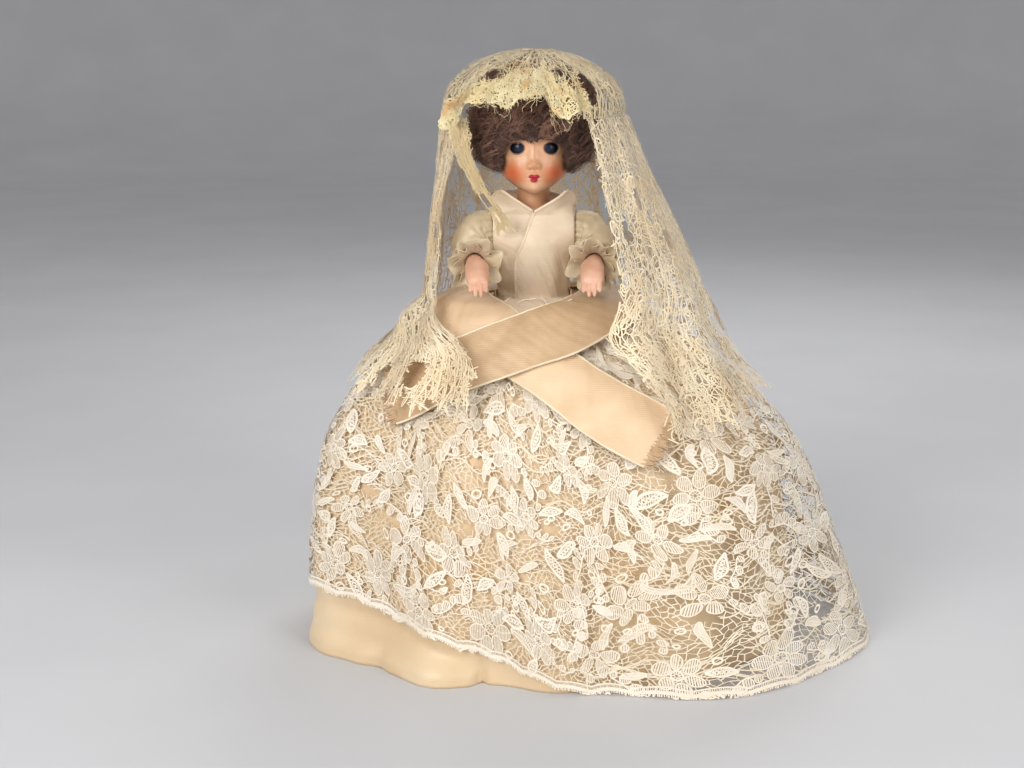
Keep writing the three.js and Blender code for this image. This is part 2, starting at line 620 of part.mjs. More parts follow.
function bellRadius(angle, share, folded, train) {
  const drop = 1 - share;
  const full = WAIST_R + (hemRadius(angle) - WAIST_R) * bell(share);
  const trail = train * Math.max(0, Math.cos(angle + rad(8))) ** 3 * drop ** 1.4;
  return full + folded * FOLD * drop ** 1.3 * folds(angle) + trail;
}

// A point on the bell at an angle and share of the waist height, lifted off along the profile.
function skirtPoint(angle, share, lift, folded = 1, train = 0) {
  const r = bellRadius(angle, share, folded, train);
  const low = Math.max(share - 0.01, 0);
  const high = Math.min(share + 0.01, 1);
  const run = bellRadius(angle, high, folded, train) - bellRadius(angle, low, folded, train);
  const rise = (high - low) * WAIST_Z;
  const length = Math.hypot(run, rise);
  const off = r + (lift * rise) / length;
  const up = ((lift * -run) / length) * ramp(share, 0, 0.12);
  return at(off * Math.cos(angle), off * Math.sin(angle), WAIST_Z * share + up);
}

function rowShare(rows, v) {
  const place = v * (rows.length - 1);
  const i = Math.min(Math.floor(place + 1e-9), rows.length - 2);
  return mix(rows[i], rows[i + 1], place - i);
}

const seamGap = (share, gap) => mix(gap, CLEARANCE, ramp(share, 0.96, 1));
const laceUnder = (share) => CLOTH + seamGap(share, LAYER_GAP);
const laceHem = (angle) => (LACE_RISE / WAIST_Z) * Math.max(0, Math.cos(angle - rad(195))) ** 1.2;

function lacePoint(angle, share, lift) {
  return skirtPoint(angle, share, laceUnder(share) + lift, 1, TRAIN);
}

add('satin_skirt', shell(
  (u, v) => skirtPoint(2 * Math.PI * u, rowShare(SKIRT_ROWS, v), CLOTH),
  (u, v) => skirtPoint(2 * Math.PI * u, rowShare(SKIRT_ROWS, v), 0),
  SKIRT_COLUMNS,
  SKIRT_ROWS.length - 1,
  true,
), IVORY, 0.45);

const laceSurface = (lift) => (u, v) => {
  const angle = 2 * Math.PI * u;
  const share = rowShare(SKIRT_ROWS, v);
  return lacePoint(angle, share + laceHem(angle) * (1 - share) ** 2, lift);
};
add('lace_overskirt', shell(laceSurface(CLOTH), laceSurface(0), SKIRT_COLUMNS, SKIRT_ROWS.length - 1, true), LACE, 0.9);

const PETTICOAT_ROWS = [0.985, 0.955, 0.88, 0.76, 0.6, 0.35, 0.065];
const petticoatLift = (share) => -(CLOTH + 0.6 + 1.1 * FOLD * (1 - share) ** 1.1);
add('petticoat', shell(
  (u, v) => {
    const share = rowShare(PETTICOAT_ROWS, v);
    return skirtPoint(2 * Math.PI * u, share, petticoatLift(share), 0);
  },
  (u, v) => {
    const share = rowShare(PETTICOAT_ROWS, v);
    return skirtPoint(2 * Math.PI * u, share, petticoatLift(share) - CLOTH, 0);
  },
  24,
  PETTICOAT_ROWS.length - 1,
  true,
), '#efe9dd', 0.9);

// Sash: a band round the top of the skirt and two ends of ribbon lying on the lace

const SASH_ROWS = [0.99, 0.965, 0.925];
const sashLift = CLOTH + 0.4;
add('sash_wrap', shell(
  (u, v) => lacePoint(2 * Math.PI * u, rowShare(SASH_ROWS, v), sashLift + CLOTH),
  (u, v) => lacePoint(2 * Math.PI * u, rowShare(SASH_ROWS, v), sashLift),
  SKIRT_COLUMNS,
  SASH_ROWS.length - 1,
  true,
), IVORY, 0.4);

// A ribbon from one place on the lace to another, each an angle in degrees and a share of the height.
function ribbon(from, to, liftAt, columns) {
  const centre = (t, lift) => lacePoint(rad(mix(from[0], to[0], t)), mix(from[1], to[1], t), lift);
  const surface = (extra) => (u, v) => {
    const lift = liftAt(u);
    const along = centre(u + 0.01, lift).sub(centre(u - 0.01, lift)).normalize();
    const middle = centre(u, lift);
    const normal = centre(u, lift + 1).sub(middle).normalize();
    const across = along.cross(normal).normalize();
    return middle.addScaledVector(across, (v - 0.5) * RIBBON_WIDTH).addScaledVector(normal, extra);
  };
  return shell(surface(CLOTH), surface(0), columns, 2, false);
}

const overSash = sashLift + CLOTH + 0.4;
const overTail = overSash + CLOTH + 0.4;
const frontTail = ribbon([-84, 0.9], [-52, 0.66], (u) => overSash + 2 * ramp(u, 0.3, 0.8), 14);
const rightTail = ribbon([-52, 0.955], [-142, 0.775], () => overTail + 1.4, 22);
add('sash_front_tail', frontTail, IVORY, 0.4);
add('sash_right_tail', rightTail, IVORY, 0.4);

// Veil: a dome over the wig that turns with the head, a ruffle round its front, and three falls

const domeRise = VEIL_TOP_Z - VEIL_RIM_Z;
const domeRadius = (z) => VEIL_R * Math.sqrt(Math.max(0, 1 - ((z - VEIL_RIM_Z) / domeRise) ** 2.3));
const DOME_ROWS = [0, 0.25, 0.48, 0.68, 0.83, 0.94, 1];
const domeProfile = [];
for (const share of DOME_ROWS) {
  domeProfile.push(new THREE.Vector2(share === 1 ? 0 : domeRadius(VEIL_RIM_Z + domeRise * share), domeRise * share));
}
for (const share of [...DOME_ROWS].reverse()) {
  const thin = VEIL_R - CLOTH;
  const r = share === 1 ? 0 : domeRadius(VEIL_RIM_Z + domeRise * share) * (thin / VEIL_R);
  domeProfile.push(new THREE.Vector2(r, (domeRise - CLOTH) * share));
}
domeProfile.push(domeProfile[0].clone());
const dome = new THREE.LatheGeometry(domeProfile, 28).rotateX(Math.PI / 2).translate(0, NECK_Y, VEIL_RIM_Z);
const browZ = CHIN_Z + 0.827 * HEAD_HEIGHT;
const brow = block(at(-60, -60, VEIL_RIM_Z - 5), at(60, -0.42 * VEIL_R, browZ));
add('veil_crown', cut(toSolid(dome), brow), VEIL, 0.9);

const edgingLow = browZ - 3;
const edgingHigh = browZ + 0.36 * (VEIL_TOP_Z - browZ);
function edgingPoint(u, v, lift) {
  const angle = rad(mix(196, 344, u));
  const z = mix(edgingHigh, edgingLow, v);
  const ripple = (0.25 + v) * (1 + Math.cos(8 * 2 * Math.PI * u));
  const r = domeRadius(z) + 0.5 + 0.5 * ripple + lift;
  return at(r * Math.cos(angle), NECK_Y + r * Math.sin(angle), z);
}
add('veil_edging', shell(
  (u, v) => edgingPoint(u, v, CLOTH),
  (u, v) => edgingPoint(u, v, 0),
  32,
  2,
  false,
), VEIL, 0.9);

const spread = (angle) => VEIL_SPREAD * (1 + 0.67 * Math.cos(angle));
const blendMax = (a, b, soft) => 0.5 * (a + b + Math.sqrt((a - b) ** 2 + soft * soft));

// Radius of the lace skirt at a height, found from the profile that the lace is laid on.
function laceRadius(angle, z, lift) {
  let low = 0;
  let high = 1;
  for (let i = 0; i < 24; i += 1) {
    const share = (low + high) / 2;
    if (lacePoint(angle, share, lift).z < z) low = share;
    else high = share;
  }
  const point = lacePoint(angle, (low + high) / 2, lift);
  return z > lacePoint(angle, 1, lift).z ? 0 : Math.hypot(point.x, point.y);
}

// A veil fall between two angles that open with depth, hung from the rim and laid on the skirt.
function fall(startAngle, endAngle, hemDrop, overSkirt, columns) {
  const surface = (lift) => (u, v) => {
    const angle = rad(mix(startAngle(v), endAngle(v), u));
    const z = VEIL_RIM_Z - CLEARANCE - v * VEIL_LENGTH * hemDrop(u);
    const down = (VEIL_RIM_Z - z) / (0.94 * VEIL_LENGTH);
    const hang = VEIL_R - CLOTH + spread(angle) * down;
    const pleat = 1.6 * down * (1 + Math.cos(13 * angle)) * Math.min(1, 3 * down);
    const rest = laceRadius(angle, z, CLOTH + LAYER_GAP + overSkirt(u, v));
    const r = (rest > 0 ? blendMax(hang, rest + 0.6, 5) : hang) + pleat + lift;
    const centreY = NECK_Y * Math.max(0, 1 - down * 1.6);
    return at(r * Math.cos(angle), centreY + r * Math.sin(angle), z);
  };
  return shell(surface(CLOTH), surface(0), columns, 9, false);
}

const none = () => 0;
add('veil_left_fall', fall(() => -44, () => 29.6, (u) => 1 - 0.12 * u, none, 15), VEIL, 0.9);
add('veil_back_fall', fall(() => 30.4, () => 149.6, () => 0.86, none, 20), VEIL, 0.9);
add('veil_right_fall', fall(
  () => 150.4,
  (v) => 206 + 40 * ramp(v, 0.66, 1),
  (u) => 0.86 + 0.06 * u,
  (u, v) => 5.5 * ramp(u, 0.35, 0.7) * ramp(v, 0.5, 0.75),
  15,
), VEIL, 0.9);

// Stand the doll on the middle of her own footprint
const bounds = new THREE.Box3().setFromObject(group);
const centre = bounds.getCenter(at(0, 0, 0));
for (const mesh of group.children) {
  mesh.geometry.translate(-centre.x, -centre.y, -bounds.min.z);
}

export default group;
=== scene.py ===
"""Looks of the bride doll: skin, hair, satin, lace and veil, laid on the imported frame.

Shapes are worked out in millimetres round the doll's own axis, facing -Y with its left at +X,
and moved into the shared frame by place().
"""

import math

import bpy
import numpy as np
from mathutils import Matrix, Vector


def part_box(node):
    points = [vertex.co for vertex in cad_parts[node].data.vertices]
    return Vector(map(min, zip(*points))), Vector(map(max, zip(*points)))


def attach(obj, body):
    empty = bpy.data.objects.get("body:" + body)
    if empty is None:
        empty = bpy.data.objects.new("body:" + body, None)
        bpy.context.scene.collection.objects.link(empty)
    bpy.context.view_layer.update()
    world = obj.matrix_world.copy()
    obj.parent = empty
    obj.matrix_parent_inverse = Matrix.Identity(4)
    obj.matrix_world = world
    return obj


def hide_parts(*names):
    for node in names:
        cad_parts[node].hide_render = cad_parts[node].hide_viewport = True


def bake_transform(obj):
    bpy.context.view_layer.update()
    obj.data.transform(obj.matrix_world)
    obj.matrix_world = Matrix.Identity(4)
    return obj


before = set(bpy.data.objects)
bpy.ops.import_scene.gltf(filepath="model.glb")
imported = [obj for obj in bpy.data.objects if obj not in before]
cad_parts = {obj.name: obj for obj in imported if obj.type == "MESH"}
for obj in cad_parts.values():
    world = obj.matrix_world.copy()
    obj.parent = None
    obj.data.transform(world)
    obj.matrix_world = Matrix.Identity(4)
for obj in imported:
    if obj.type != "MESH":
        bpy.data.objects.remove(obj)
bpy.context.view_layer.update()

MM = 0.001


def middle(node):
    """Middle of a node's box, in metres."""
    low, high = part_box(node)
    return (np.array(low) + np.array(high)) / 2


# Where the doll's axis stands in the frame
AXIS = np.array([
    (middle("left_eye")[0] + middle("right_eye")[0]) / 2,
    middle("waistband")[1],
    0.0,
]) / MM

# Sizes shared with the solids, in millimetres
LEG_LENGTH = 88
HIP_X = 8.2
HIP_R = 6.7
FOOT_R = 4.6
HIP_Z = 88
TORSO_HEIGHT = 54
CHEST_HALF = 11.8
CHEST_DEPTH = 9.2
NECK_Z = 142
NECK_Y = 1
NECK_R = 5.2
SHOULDER_Z = 135
SHOULDER_Y = -2
WAIST_Z = 112
WAIST_R = 13
WAISTBAND = 4
HEM_R = 68
FOLD = 3
TRAIN = 25
LACE_RISE = 17
CLOTH = 0.7
LAYER_GAP = 0.9
CLEARANCE = 0.3
RIBBON_WIDTH = 15
HEAD_HEIGHT = 36.5
HEAD_HALF = 13.4
FACE_DEPTH = 13.6
SKULL_DEPTH = 16.5
CHIN_Z = 146.8
EYE_R = 3.6
EYE_X, EYE_Y, EYE_Z = middle("left_eye") / MM - AXIS - [0.9, 0, 0]
NOSE_Z = CHIN_Z + 9.4
MOUTH_Z = CHIN_Z + 5.2
HAIR = 5.6
HAIRLINE_Z = CHIN_Z + 16.9
WIG_HEIGHT = HEAD_HEIGHT + 1.1 * HAIR
WIG_FOOT = 0.155
VEIL_R = 29
VEIL_RIM_Z = 171
VEIL_TOP_Z = 190.46
VEIL_SPREAD = 24
VEIL_LENGTH = 97
BROW_Z = 177

SIDES = (("left", 1), ("right", -1))
PHASES = 6.28   # about a full turn, for random phases


# Number helpers

def through(points):
    """A smooth curve y(x) through the points, with no overshoot."""
    x, y = np.array(points, float).T
    run = np.diff(x)
    slope = np.diff(y) / run
    product = slope[:-1] * slope[1:]
    total = np.where(product > 0, slope[:-1] + slope[1:], 1)
    inner = np.where(product > 0, 2 * product / total, 0)
    tangent = np.concatenate([slope[:1], inner, slope[-1:]])

    def curve(at):
        i = np.clip(np.searchsorted(x, at, side="right") - 1, 0, len(run) - 1)
        t = np.clip((at - x[i]) / run[i], 0, 1)
        ease = t * t * (3 - 2 * t)
        bend = tangent[i] * (1 - t) - tangent[i + 1] * t
        return y[i] + (y[i + 1] - y[i]) * ease + t * (1 - t) * run[i] * bend

    return curve


def mix(a, b, t):
    return a + (b - a) * t


def ramp(x, low, high):
    t = np.clip((x - low) / (high - low), 0, 1)
    return t * t * (3 - 2 * t)


def bump(x, centre, width):
    return np.exp(-(((x - centre) / width) ** 2))


def dome(x):
    """A quarter circle from 0 to 1."""
    return np.sqrt(1 - (1 - np.clip(x, 0, 1)) ** 2)


def ripple(x, seed, octaves=4):
    """Smooth noise of one variable, about -1 to 1, from a few sines."""
    rng = np.random.default_rng(seed)
    total = 0
    for k in range(octaves):
        total = total + np.sin(x * (1.3 + k) * rng.uniform(0.8, 1.2) + rng.uniform(0, PHASES)) / (1 + k)
    return total / 2


def stack(x, y, z):
    return np.stack(np.broadcast_arrays(x, y, z), -1)


def fixed(value):
    """A curve that stays at one value."""
    return lambda at: value + 0 * at


def polar(r, angle, z, centre_y=0.0):
    return stack(r * np.cos(angle), centre_y + r * np.sin(angle), z)


def unit(vectors):
    return vectors / np.maximum(np.linalg.norm(vectors, axis=-1, keepdims=True), 1e-9)


# Mesh helpers: each shape is a pair of points in doll millimetres and faces

def place(points):
    """Doll millimetres to frame metres."""
    return (np.asarray(points, float) + AXIS) * MM


def grid_faces(across, columns, rows):
    """Faces between rows of points, closed round where there are as many columns as points across."""
    i, j = np.meshgrid(np.arange(columns), np.arange(rows))
    i, j = i.ravel(), j.ravel()
    right = (i + 1) % across
    return np.stack([j * across + i, j * across + right, (j + 1) * across + right, (j + 1) * across + i], 1)


def repeated(faces, count, points_each):
    """The same faces for each of a number of pieces whose points follow one another."""
    return (faces[None] + np.arange(count)[:, None, None] * points_each).reshape(-1, 4)


def strip_faces(count, length):
    """Faces of a number of strips, each two points wide."""
    step = np.arange(length - 1) * 2
    return repeated(np.stack([step, step + 1, step + 3, step + 2], 1), count, length * 2)


def grid_shape(surface, columns, rows, round_u=False):
    """A sheet over surface(u, v) with u and v from 0 to 1. A round sheet meets itself in u."""
    across = columns if round_u else columns + 1
    u, v = np.meshgrid(np.arange(across) / columns, np.arange(rows + 1) / rows)
    return surface(u.ravel(), v.ravel()), grid_faces(across, columns, rows)


def strip_shape(paths, widths, normals):
    """Flat strips along paths shaped (strips, points, 3), lying square to the normals."""
    side = unit(np.cross(np.gradient(paths, axis=1), normals))
    side = side * np.broadcast_to(widths, paths.shape[:2])[..., None] / 2
    both = np.stack([paths - side, paths + side], 2)
    return both.reshape(-1, 3), strip_faces(*paths.shape[:2])


def tube_shape(paths, radii, sides=8):
    """Round cords along paths shaped (cords, points, 3), with a radius for each point or for all."""
    count, length = paths.shape[:2]
    along = unit(np.gradient(paths, axis=1))
    across = unit(np.cross(along, np.array([0.37, 0.81, 0.45])))
    over = np.cross(along, across)
    turn = np.arange(sides) * 2 * np.pi / sides
    radius = np.broadcast_to(radii, (count, length))[..., None, None]
    ring = across[:, :, None] * np.cos(turn)[:, None] + over[:, :, None] * np.sin(turn)[:, None]
    points = paths[:, :, None] + ring * radius
    return points.reshape(-1, 3), repeated(grid_faces(sides, sides, length - 1), count, length * sides)


def merged(*shapes):
    """Several shapes as one."""
    start = np.cumsum([0] + [len(points) for points, _ in shapes])
    return (np.concatenate([points for points, _ in shapes]),
            np.concatenate([faces + first for (_, faces), first in zip(shapes, start)]))


def kept(shape, test):
    """A shape without the faces whose middle fails the test."""
    points, faces = shape
    return points, faces[test(points[faces].mean(1))]


def mirrored(shape, side):
    """A shape made for the left, moved to its side."""
    points, faces = shape
    return points * np.array([side, 1, 1]), faces


def mesh_object(name, shape, material, thick=0.0, voxel=0.0, soften=0):
    """A shape as an object, thickened both ways or fused into one skin if asked."""
    points, faces = shape
    mesh = bpy.data.meshes.new(name)
    mesh.from_pydata(place(points).tolist(), [], np.asarray(faces).tolist())
    mesh.polygons.foreach_set("use_smooth", [True] * len(mesh.polygons))
    mesh.materials.append(material)
    made = bpy.data.objects.new(name, mesh)
    bpy.context.collection.objects.link(made)
    if thick:
        solid = made.modifiers.new("thickness", "SOLIDIFY")
        solid.thickness = thick * MM
        solid.offset = 0
    if voxel:
        fuse = made.modifiers.new("fuse", "REMESH")
        fuse.mode = "VOXEL"
        fuse.voxel_size = voxel * MM
        fuse.use_smooth_shade = True
    if soften:
        smooth = made.modifiers.new("soften", "SMOOTH")
        smooth.iterations = soften
    return made


def dress(made, body, slot, *nodes):
    """The piece rides a body and stands for CAD nodes, which it hides; slot is not used."""
    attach(made, body)
    if nodes:
        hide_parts(*nodes)
    return made


def cloth(flat):
    """Take a sheet's flat size in millimetres; nothing is done with it."""
    wide, long = flat


class Pattern:
    """Flat lacework drawn in millimetres and laid on a surface afterwards."""

    def __init__(self):
        self.points = []
        self.faces = []
        self.count = 0

    def strips(self, left, right, lift=0.0):
        """Bands between two sets of rows, each shaped (bands, points, 2)."""
        bands, length = left.shape[:2]
        both = np.stack([left, right], 2).reshape(bands, length * 2, 2)
        height = np.broadcast_to(np.reshape(lift, (-1, 1)), both.shape[:2])[..., None]
        self.faces.append(strip_faces(bands, length) + self.count)
        self.points.append(np.concatenate([both, height], 2).reshape(-1, 3))
        self.count += bands * length * 2

    def fibres(self, paths, widths, lift=0.0):
        """Many threads at once along paths shaped (threads, points, 2)."""
        turn = np.gradient(paths, axis=1)
        side = unit(np.stack([-turn[..., 1], turn[..., 0]], -1)) * np.reshape(widths, (-1, 1, 1)) / 2
        self.strips(paths - side, paths + side, lift)

    def segments(self, start, end, width, lift=0.0):
        """Many straight threads at once."""
        self.fibres(np.stack([start, end], 1), width, lift)

    def thread(self, path, width, lift=0.0, closed=False):
        """One thread along a path, its width a number or one for each point."""
        path = np.asarray(path, float)
        if closed:
            path = np.concatenate([path, path[:1]])
            turn = np.roll(path[:-1], -1, 0) - np.roll(path[:-1], 1, 0)
            turn = np.concatenate([turn, turn[:1]])
        else:
            turn = np.gradient(path, axis=0)
        across = unit(np.stack([-turn[:, 1], turn[:, 0]], 1))
        side = across * np.reshape(np.broadcast_to(width, len(path)), (-1, 1)) / 2
        self.strips((path - side)[None], (path + side)[None], lift)

    def shape(self, surface, keep=None):
        """The pattern laid on surface(x, y, lift), without the faces that fail keep(x, y)."""
        flat = np.concatenate(self.points)
        faces = np.concatenate(self.faces)
        if keep is not None:
            centre = flat[faces].mean(1)
            faces = faces[keep(centre[:, 0], centre[:, 1])]
        return surface(flat[:, 0], flat[:, 1], flat[:, 2]), faces


# Materials

def node_material(name, rough, sheen=0.0, coat=0.0, specular=0.5, metal=0.0):
    """A principled material with its object coordinates, and its nodes to build on."""
    made = bpy.data.materials.new(name)
    made.use_nodes = True
    nodes = made.node_tree.nodes
    shader = nodes["Principled BSDF"]
    shader.inputs["Roughness"].default_value = rough
    shader.inputs["Metallic"].default_value = metal
    shader.inputs["Specular IOR Level"].default_value = specular
    shader.inputs["Sheen Weight"].default_value = sheen
    shader.inputs["Coat Weight"].default_value = coat
    coords = nodes.new("ShaderNodeTexCoord")
    return made, shader, coords.outputs["Object"]


def add_node(made, kind, **values):
    node = made.node_tree.nodes.new(kind)
    for key, value in values.items():
        setattr(node, key, value)
    return node


def link(made, source, target):
    made.node_tree.links.new(source, target)


def noise(made, coords, size, detail=3.0):
    """Noise whose features are about the given size in millimetres."""
    node = add_node(made, "ShaderNodeTexNoise")
    node.inputs["Scale"].default_value = 1 / (size * MM)
    node.inputs["Detail"].default_value = detail
    link(made, coords, node.inputs["Vector"])
    return node.outputs["Fac"]


def blend_colours(made, factor, stops):
    """A colour ramp driven by a factor, from (place, colour) stops."""
    node = add_node(made, "ShaderNodeValToRGB")
    elements = node.color_ramp.elements
    while len(elements) < len(stops):
        elements.new(0.5)
    for element, (spot, colour) in zip(elements, stops):
        element.position = spot
        element.color = (*colour, 1)
    link(made, factor, node.inputs["Fac"])
    return node.outputs["Color"]


def spot(made, coords, centre, radii, soft):
    """1 inside an egg round a place in doll millimetres, falling to 0 at its skin over the soft share."""
    away = add_node(made, "ShaderNodeVectorMath", operation="SUBTRACT")
    link(made, coords, away.inputs[0])
    away.inputs[1].default_value = place(centre)
    shrunk = add_node(made, "ShaderNodeVectorMath", operation="DIVIDE")
    link(made, away.outputs[0], shrunk.inputs[0])
    shrunk.inputs[1].default_value = np.array(radii) * MM
    length = add_node(made, "ShaderNodeVectorMath", operation="LENGTH")
    link(made, shrunk.outputs[0], length.inputs[0])
    return blend_colours(made, length.outputs["Value"], [(1 - soft, (1, 1, 1)), (1, (0, 0, 0))])


def mix_colour(made, factor, a, b):
    node = add_node(made, "ShaderNodeMix", data_type="RGBA")
    for key, value in ((0, factor), (6, a), (7, b)):
        if hasattr(value, "is_linked"):
            link(made, value, node.inputs[key])
        else:
            node.inputs[key].default_value = value if key == 0 else (*value, 1)
    return node.outputs[2]


def add_bump(made, shader, height, strength, distance):
    """Bump from a height, its distance in millimetres."""
    node = add_node(made, "ShaderNodeBump")
    node.inputs["Strength"].default_value = strength
    node.inputs["Distance"].default_value = distance * MM
    link(made, height, node.inputs["Height"])
    if shader.inputs["Normal"].is_linked:
        link(made, shader.inputs["Normal"].links[0].from_socket, node.inputs["Normal"])
    link(made, node.outputs["Normal"], shader.inputs["Normal"])


def ribs(made, coords, pitch, direction="Z"):
    """Fine parallel ribs of a weave at a pitch in millimetres."""
    node = add_node(made, "ShaderNodeTexWave", bands_direction=direction)
    node.inputs["Scale"].default_value = 2 * math.pi / (20 * pitch * MM)
    node.inputs["Distortion"].default_value = 0.6
    link(made, coords, node.inputs["Vector"])
    return node.outputs["Fac"]


def cloth_material(name, light, dark, rough, sheen, pitch, mottling, direction="Z", stain=None):
    """Woven cloth: two close shades in soft patches, ribs of the weave, and an optional stain."""
    made, shader, coords = node_material(name, rough, sheen)
    colour = blend_colours(made, noise(made, coords, mottling), [(0.3, dark), (0.7, light)])
    if stain:
        patches = blend_colours(made, noise(made, coords, 26, 2), [(0.56, (0, 0, 0)), (0.78, (1, 1, 1))])
        colour = mix_colour(made, patches, colour, stain)
    link(made, colour, shader.inputs["Base Color"])
    add_bump(made, shader, ribs(made, coords, pitch, direction), 0.25, 0.12)
    add_bump(made, shader, noise(made, coords, 3.5), 0.25, 0.5)
    return made


def thread_material(name, light, dark, rough=0.8, stain=None):
    """Thread or hair: two close shades, a fine fibrous bump and an optional stain."""
    made, shader, coords = node_material(name, rough, 0.2, specular=0.25)
    colour = blend_colours(made, noise(made, coords, 14), [(0.35, dark), (0.65, light)])
    if stain:
        patches = blend_colours(made, noise(made, coords, 9, 2), [(0.55, (0, 0, 0)), (0.72, (1, 1, 1))])
        colour = mix_colour(made, patches, colour, stain)
    link(made, colour, shader.inputs["Base Color"])
    add_bump(made, shader, noise(made, coords, 0.5, 2), 0.4, 0.2)
    return made


def plain_material(name, light, dark, rough, size, metal=0.0, coat=0.0):
    """A hard surface: two close shades and a faint unevenness."""
    made, shader, coords = node_material(name, rough, coat=coat, metal=metal)
    colour = blend_colours(made, noise(made, coords, size), [(0.35, dark), (0.65, light)])
    link(made, colour, shader.inputs["Base Color"])
    add_bump(made, shader, noise(made, coords, size / 6), 0.15, 0.1)
    return made


FLESH_LIGHT = (0.67, 0.355, 0.19)
FLESH_DARK = (0.57, 0.28, 0.14)
# Lighter flesh for a painted highlight on the chin
CHIN_HIGHLIGHT = (0.78, 0.47, 0.29)
BLUSH = (0.58, 0.11, 0.03)
EYE_RIM = (0.035, 0.018, 0.015)
EYE_BLACK = (0.005, 0.005, 0.008)
EYE_BLUE = (0.012, 0.018, 0.04)
LIP_RED = (0.40, 0.010, 0.022)


def face_material():
    """Painted face: flesh with blushed cheeks, a painted highlight on the chin, red lips and dark rims round
    the eyes.
    """
    made, shader, coords = node_material("painted_face", 0.42, coat=0.15)
    colour = blend_colours(made, noise(made, coords, 5), [(0.35, FLESH_DARK), (0.65, FLESH_LIGHT)])
    # Painted highlight: the chin is lightened where light falls on it
    chin = spot(made, coords, (0, -12, CHIN_Z + 1.5), (7, 8, 4.5), 0.8)
    colour = mix_colour(made, chin, colour, CHIN_HIGHLIGHT)
    for side in (-1, 1):
        blush = spot(made, coords, (side * 6.6, -10, CHIN_Z + 6.3), (5.6, 9, 4.8), 0.85)
        colour = mix_colour(made, blush, colour, BLUSH)
    for side in (-1, 1):
        rim = spot(made, coords, (side * EYE_X, EYE_Y, EYE_Z), (EYE_R + 0.75,) * 3, 0.12)
        colour = mix_colour(made, rim, colour, EYE_RIM)
    for x, z, wide, tall in ((-0.75, 0.45, 1.15, 0.75), (0.75, 0.45, 1.15, 0.75), (0, -0.5, 1.35, 1.0)):
        lip = spot(made, coords, (x, -14, MOUTH_Z + z), (wide, 5, tall), 0.3)
        colour = mix_colour(made, lip, colour, LIP_RED)
    link(made, colour, shader.inputs["Base Color"])
    add_bump(made, shader, noise(made, coords, 1.2), 0.08, 0.2)
    return made


def eye_material(name, side):
    """Glass eye: slate blue in a black rim, with a flesh lid above that comes down when the eye tilts."""
    made, shader, coords = node_material(f"glass_eye_{name}", 0.3, coat=0.15, specular=0.2)
    front = (side * EYE_X, EYE_Y - EYE_R, EYE_Z)
    iris = spot(made, coords, front, (1.5, 1.5, 1.5), 0.5)
    colour = mix_colour(made, iris, EYE_BLACK, EYE_BLUE)
    top = (side * EYE_X, EYE_Y - 0.35 * EYE_R, EYE_Z + EYE_R)
    lid = spot(made, coords, top, (2.9, 2.9, 2.9), 0.05)
    colour = mix_colour(made, lid, colour, FLESH_DARK)
    link(made, colour, shader.inputs["Base Color"])
    add_bump(made, shader, noise(made, coords, 1.5), 0.02, 0.1)
    return made


FACE = face_material()
FLESH = plain_material("flesh", (0.70, 0.40, 0.27), (0.60, 0.31, 0.19), 0.5, 5, coat=0.1)
HAIR_DARK = thread_material("hair_dark", (0.085, 0.039, 0.028), (0.048, 0.022, 0.016), 0.7)
HAIR_BROWN = thread_material("hair_brown", (0.31, 0.16, 0.105), (0.17, 0.085, 0.056), 0.65)
SATIN = cloth_material("aged_satin", (0.75, 0.58, 0.37), (0.67, 0.49, 0.29), 0.42, 0.15, 0.45, 22,
                       stain=(0.62, 0.38, 0.16))
BODICE = cloth_material("ribbed_satin", (0.84, 0.68, 0.50), (0.75, 0.59, 0.42), 0.45, 0.2, 0.8, 9)
SLEEVE = cloth_material("sleeve_satin", (0.62, 0.50, 0.33), (0.48, 0.37, 0.22), 0.42, 0.2, 0.8, 7, "X")
RIBBON = cloth_material("ribbon_satin", (0.80, 0.58, 0.37), (0.70, 0.49, 0.29), 0.45, 0.15, 0.5, 10)
# A darker copy of the ribbon satin: partly real stains, partly painted shade for the ribbon that lies in
# shade
RIBBON_STAINED_SHADED = cloth_material("ribbon_stained_shaded_satin", (0.63, 0.43, 0.25), (0.49, 0.32, 0.17), 0.45, 0.15,
                                0.5, 9)
SELVEDGE = thread_material("ribbon_selvedge", (0.84, 0.72, 0.53), (0.74, 0.60, 0.40))
LACE = thread_material("overskirt_lace", (0.88, 0.80, 0.67), (0.81, 0.71, 0.56))
NET = thread_material("overskirt_net", (0.82, 0.72, 0.56), (0.74, 0.62, 0.44))
VEIL = thread_material("veil_thread", (0.79, 0.66, 0.42), (0.68, 0.53, 0.29))
VEIL_PALE = thread_material("veil_pale_thread", (0.89, 0.77, 0.55), (0.81, 0.65, 0.42))
EDGING = thread_material("veil_edging_thread", (0.83, 0.72, 0.44), (0.74, 0.59, 0.31),
                         stain=(0.66, 0.36, 0.12))
COTTON = cloth_material("petticoat_cotton", (0.76, 0.71, 0.61), (0.68, 0.62, 0.52), 0.85, 0.1, 0.6, 15)
WIRE = plain_material("hook_wire", (0.46, 0.45, 0.43), (0.36, 0.35, 0.33), 0.4, 2, metal=0.9)
LEAD = plain_material("eye_weight_metal", (0.34, 0.35, 0.37), (0.26, 0.27, 0.29), 0.6, 2, metal=0.7)
ELASTIC = thread_material("elastic_cord", (0.78, 0.75, 0.68), (0.68, 0.64, 0.56))


# Skirts: the same bell as the solids

bell = through([(0, 1), (0.22, 0.98), (0.4, 0.95), (0.58, 0.89), (0.7, 0.77), (0.8, 0.62), (0.9, 0.42),
                (0.97, 0.25), (0.99, 0.1), (1, 0)])

# Degrees round the doll and share of the mean hem radius
HEM_SHAPE = [(-172, 1.08), (-150, 0.9), (-125, 0.79), (-100, 0.76), (-75, 0.79), (-50, 0.93), (-25, 1.12),
             (5, 1.25), (40, 1.19), (90, 1.01), (140, 1.04)]
hem_share = through([(angle + turn, share) for turn in (-360, 0, 360) for angle, share in HEM_SHAPE])


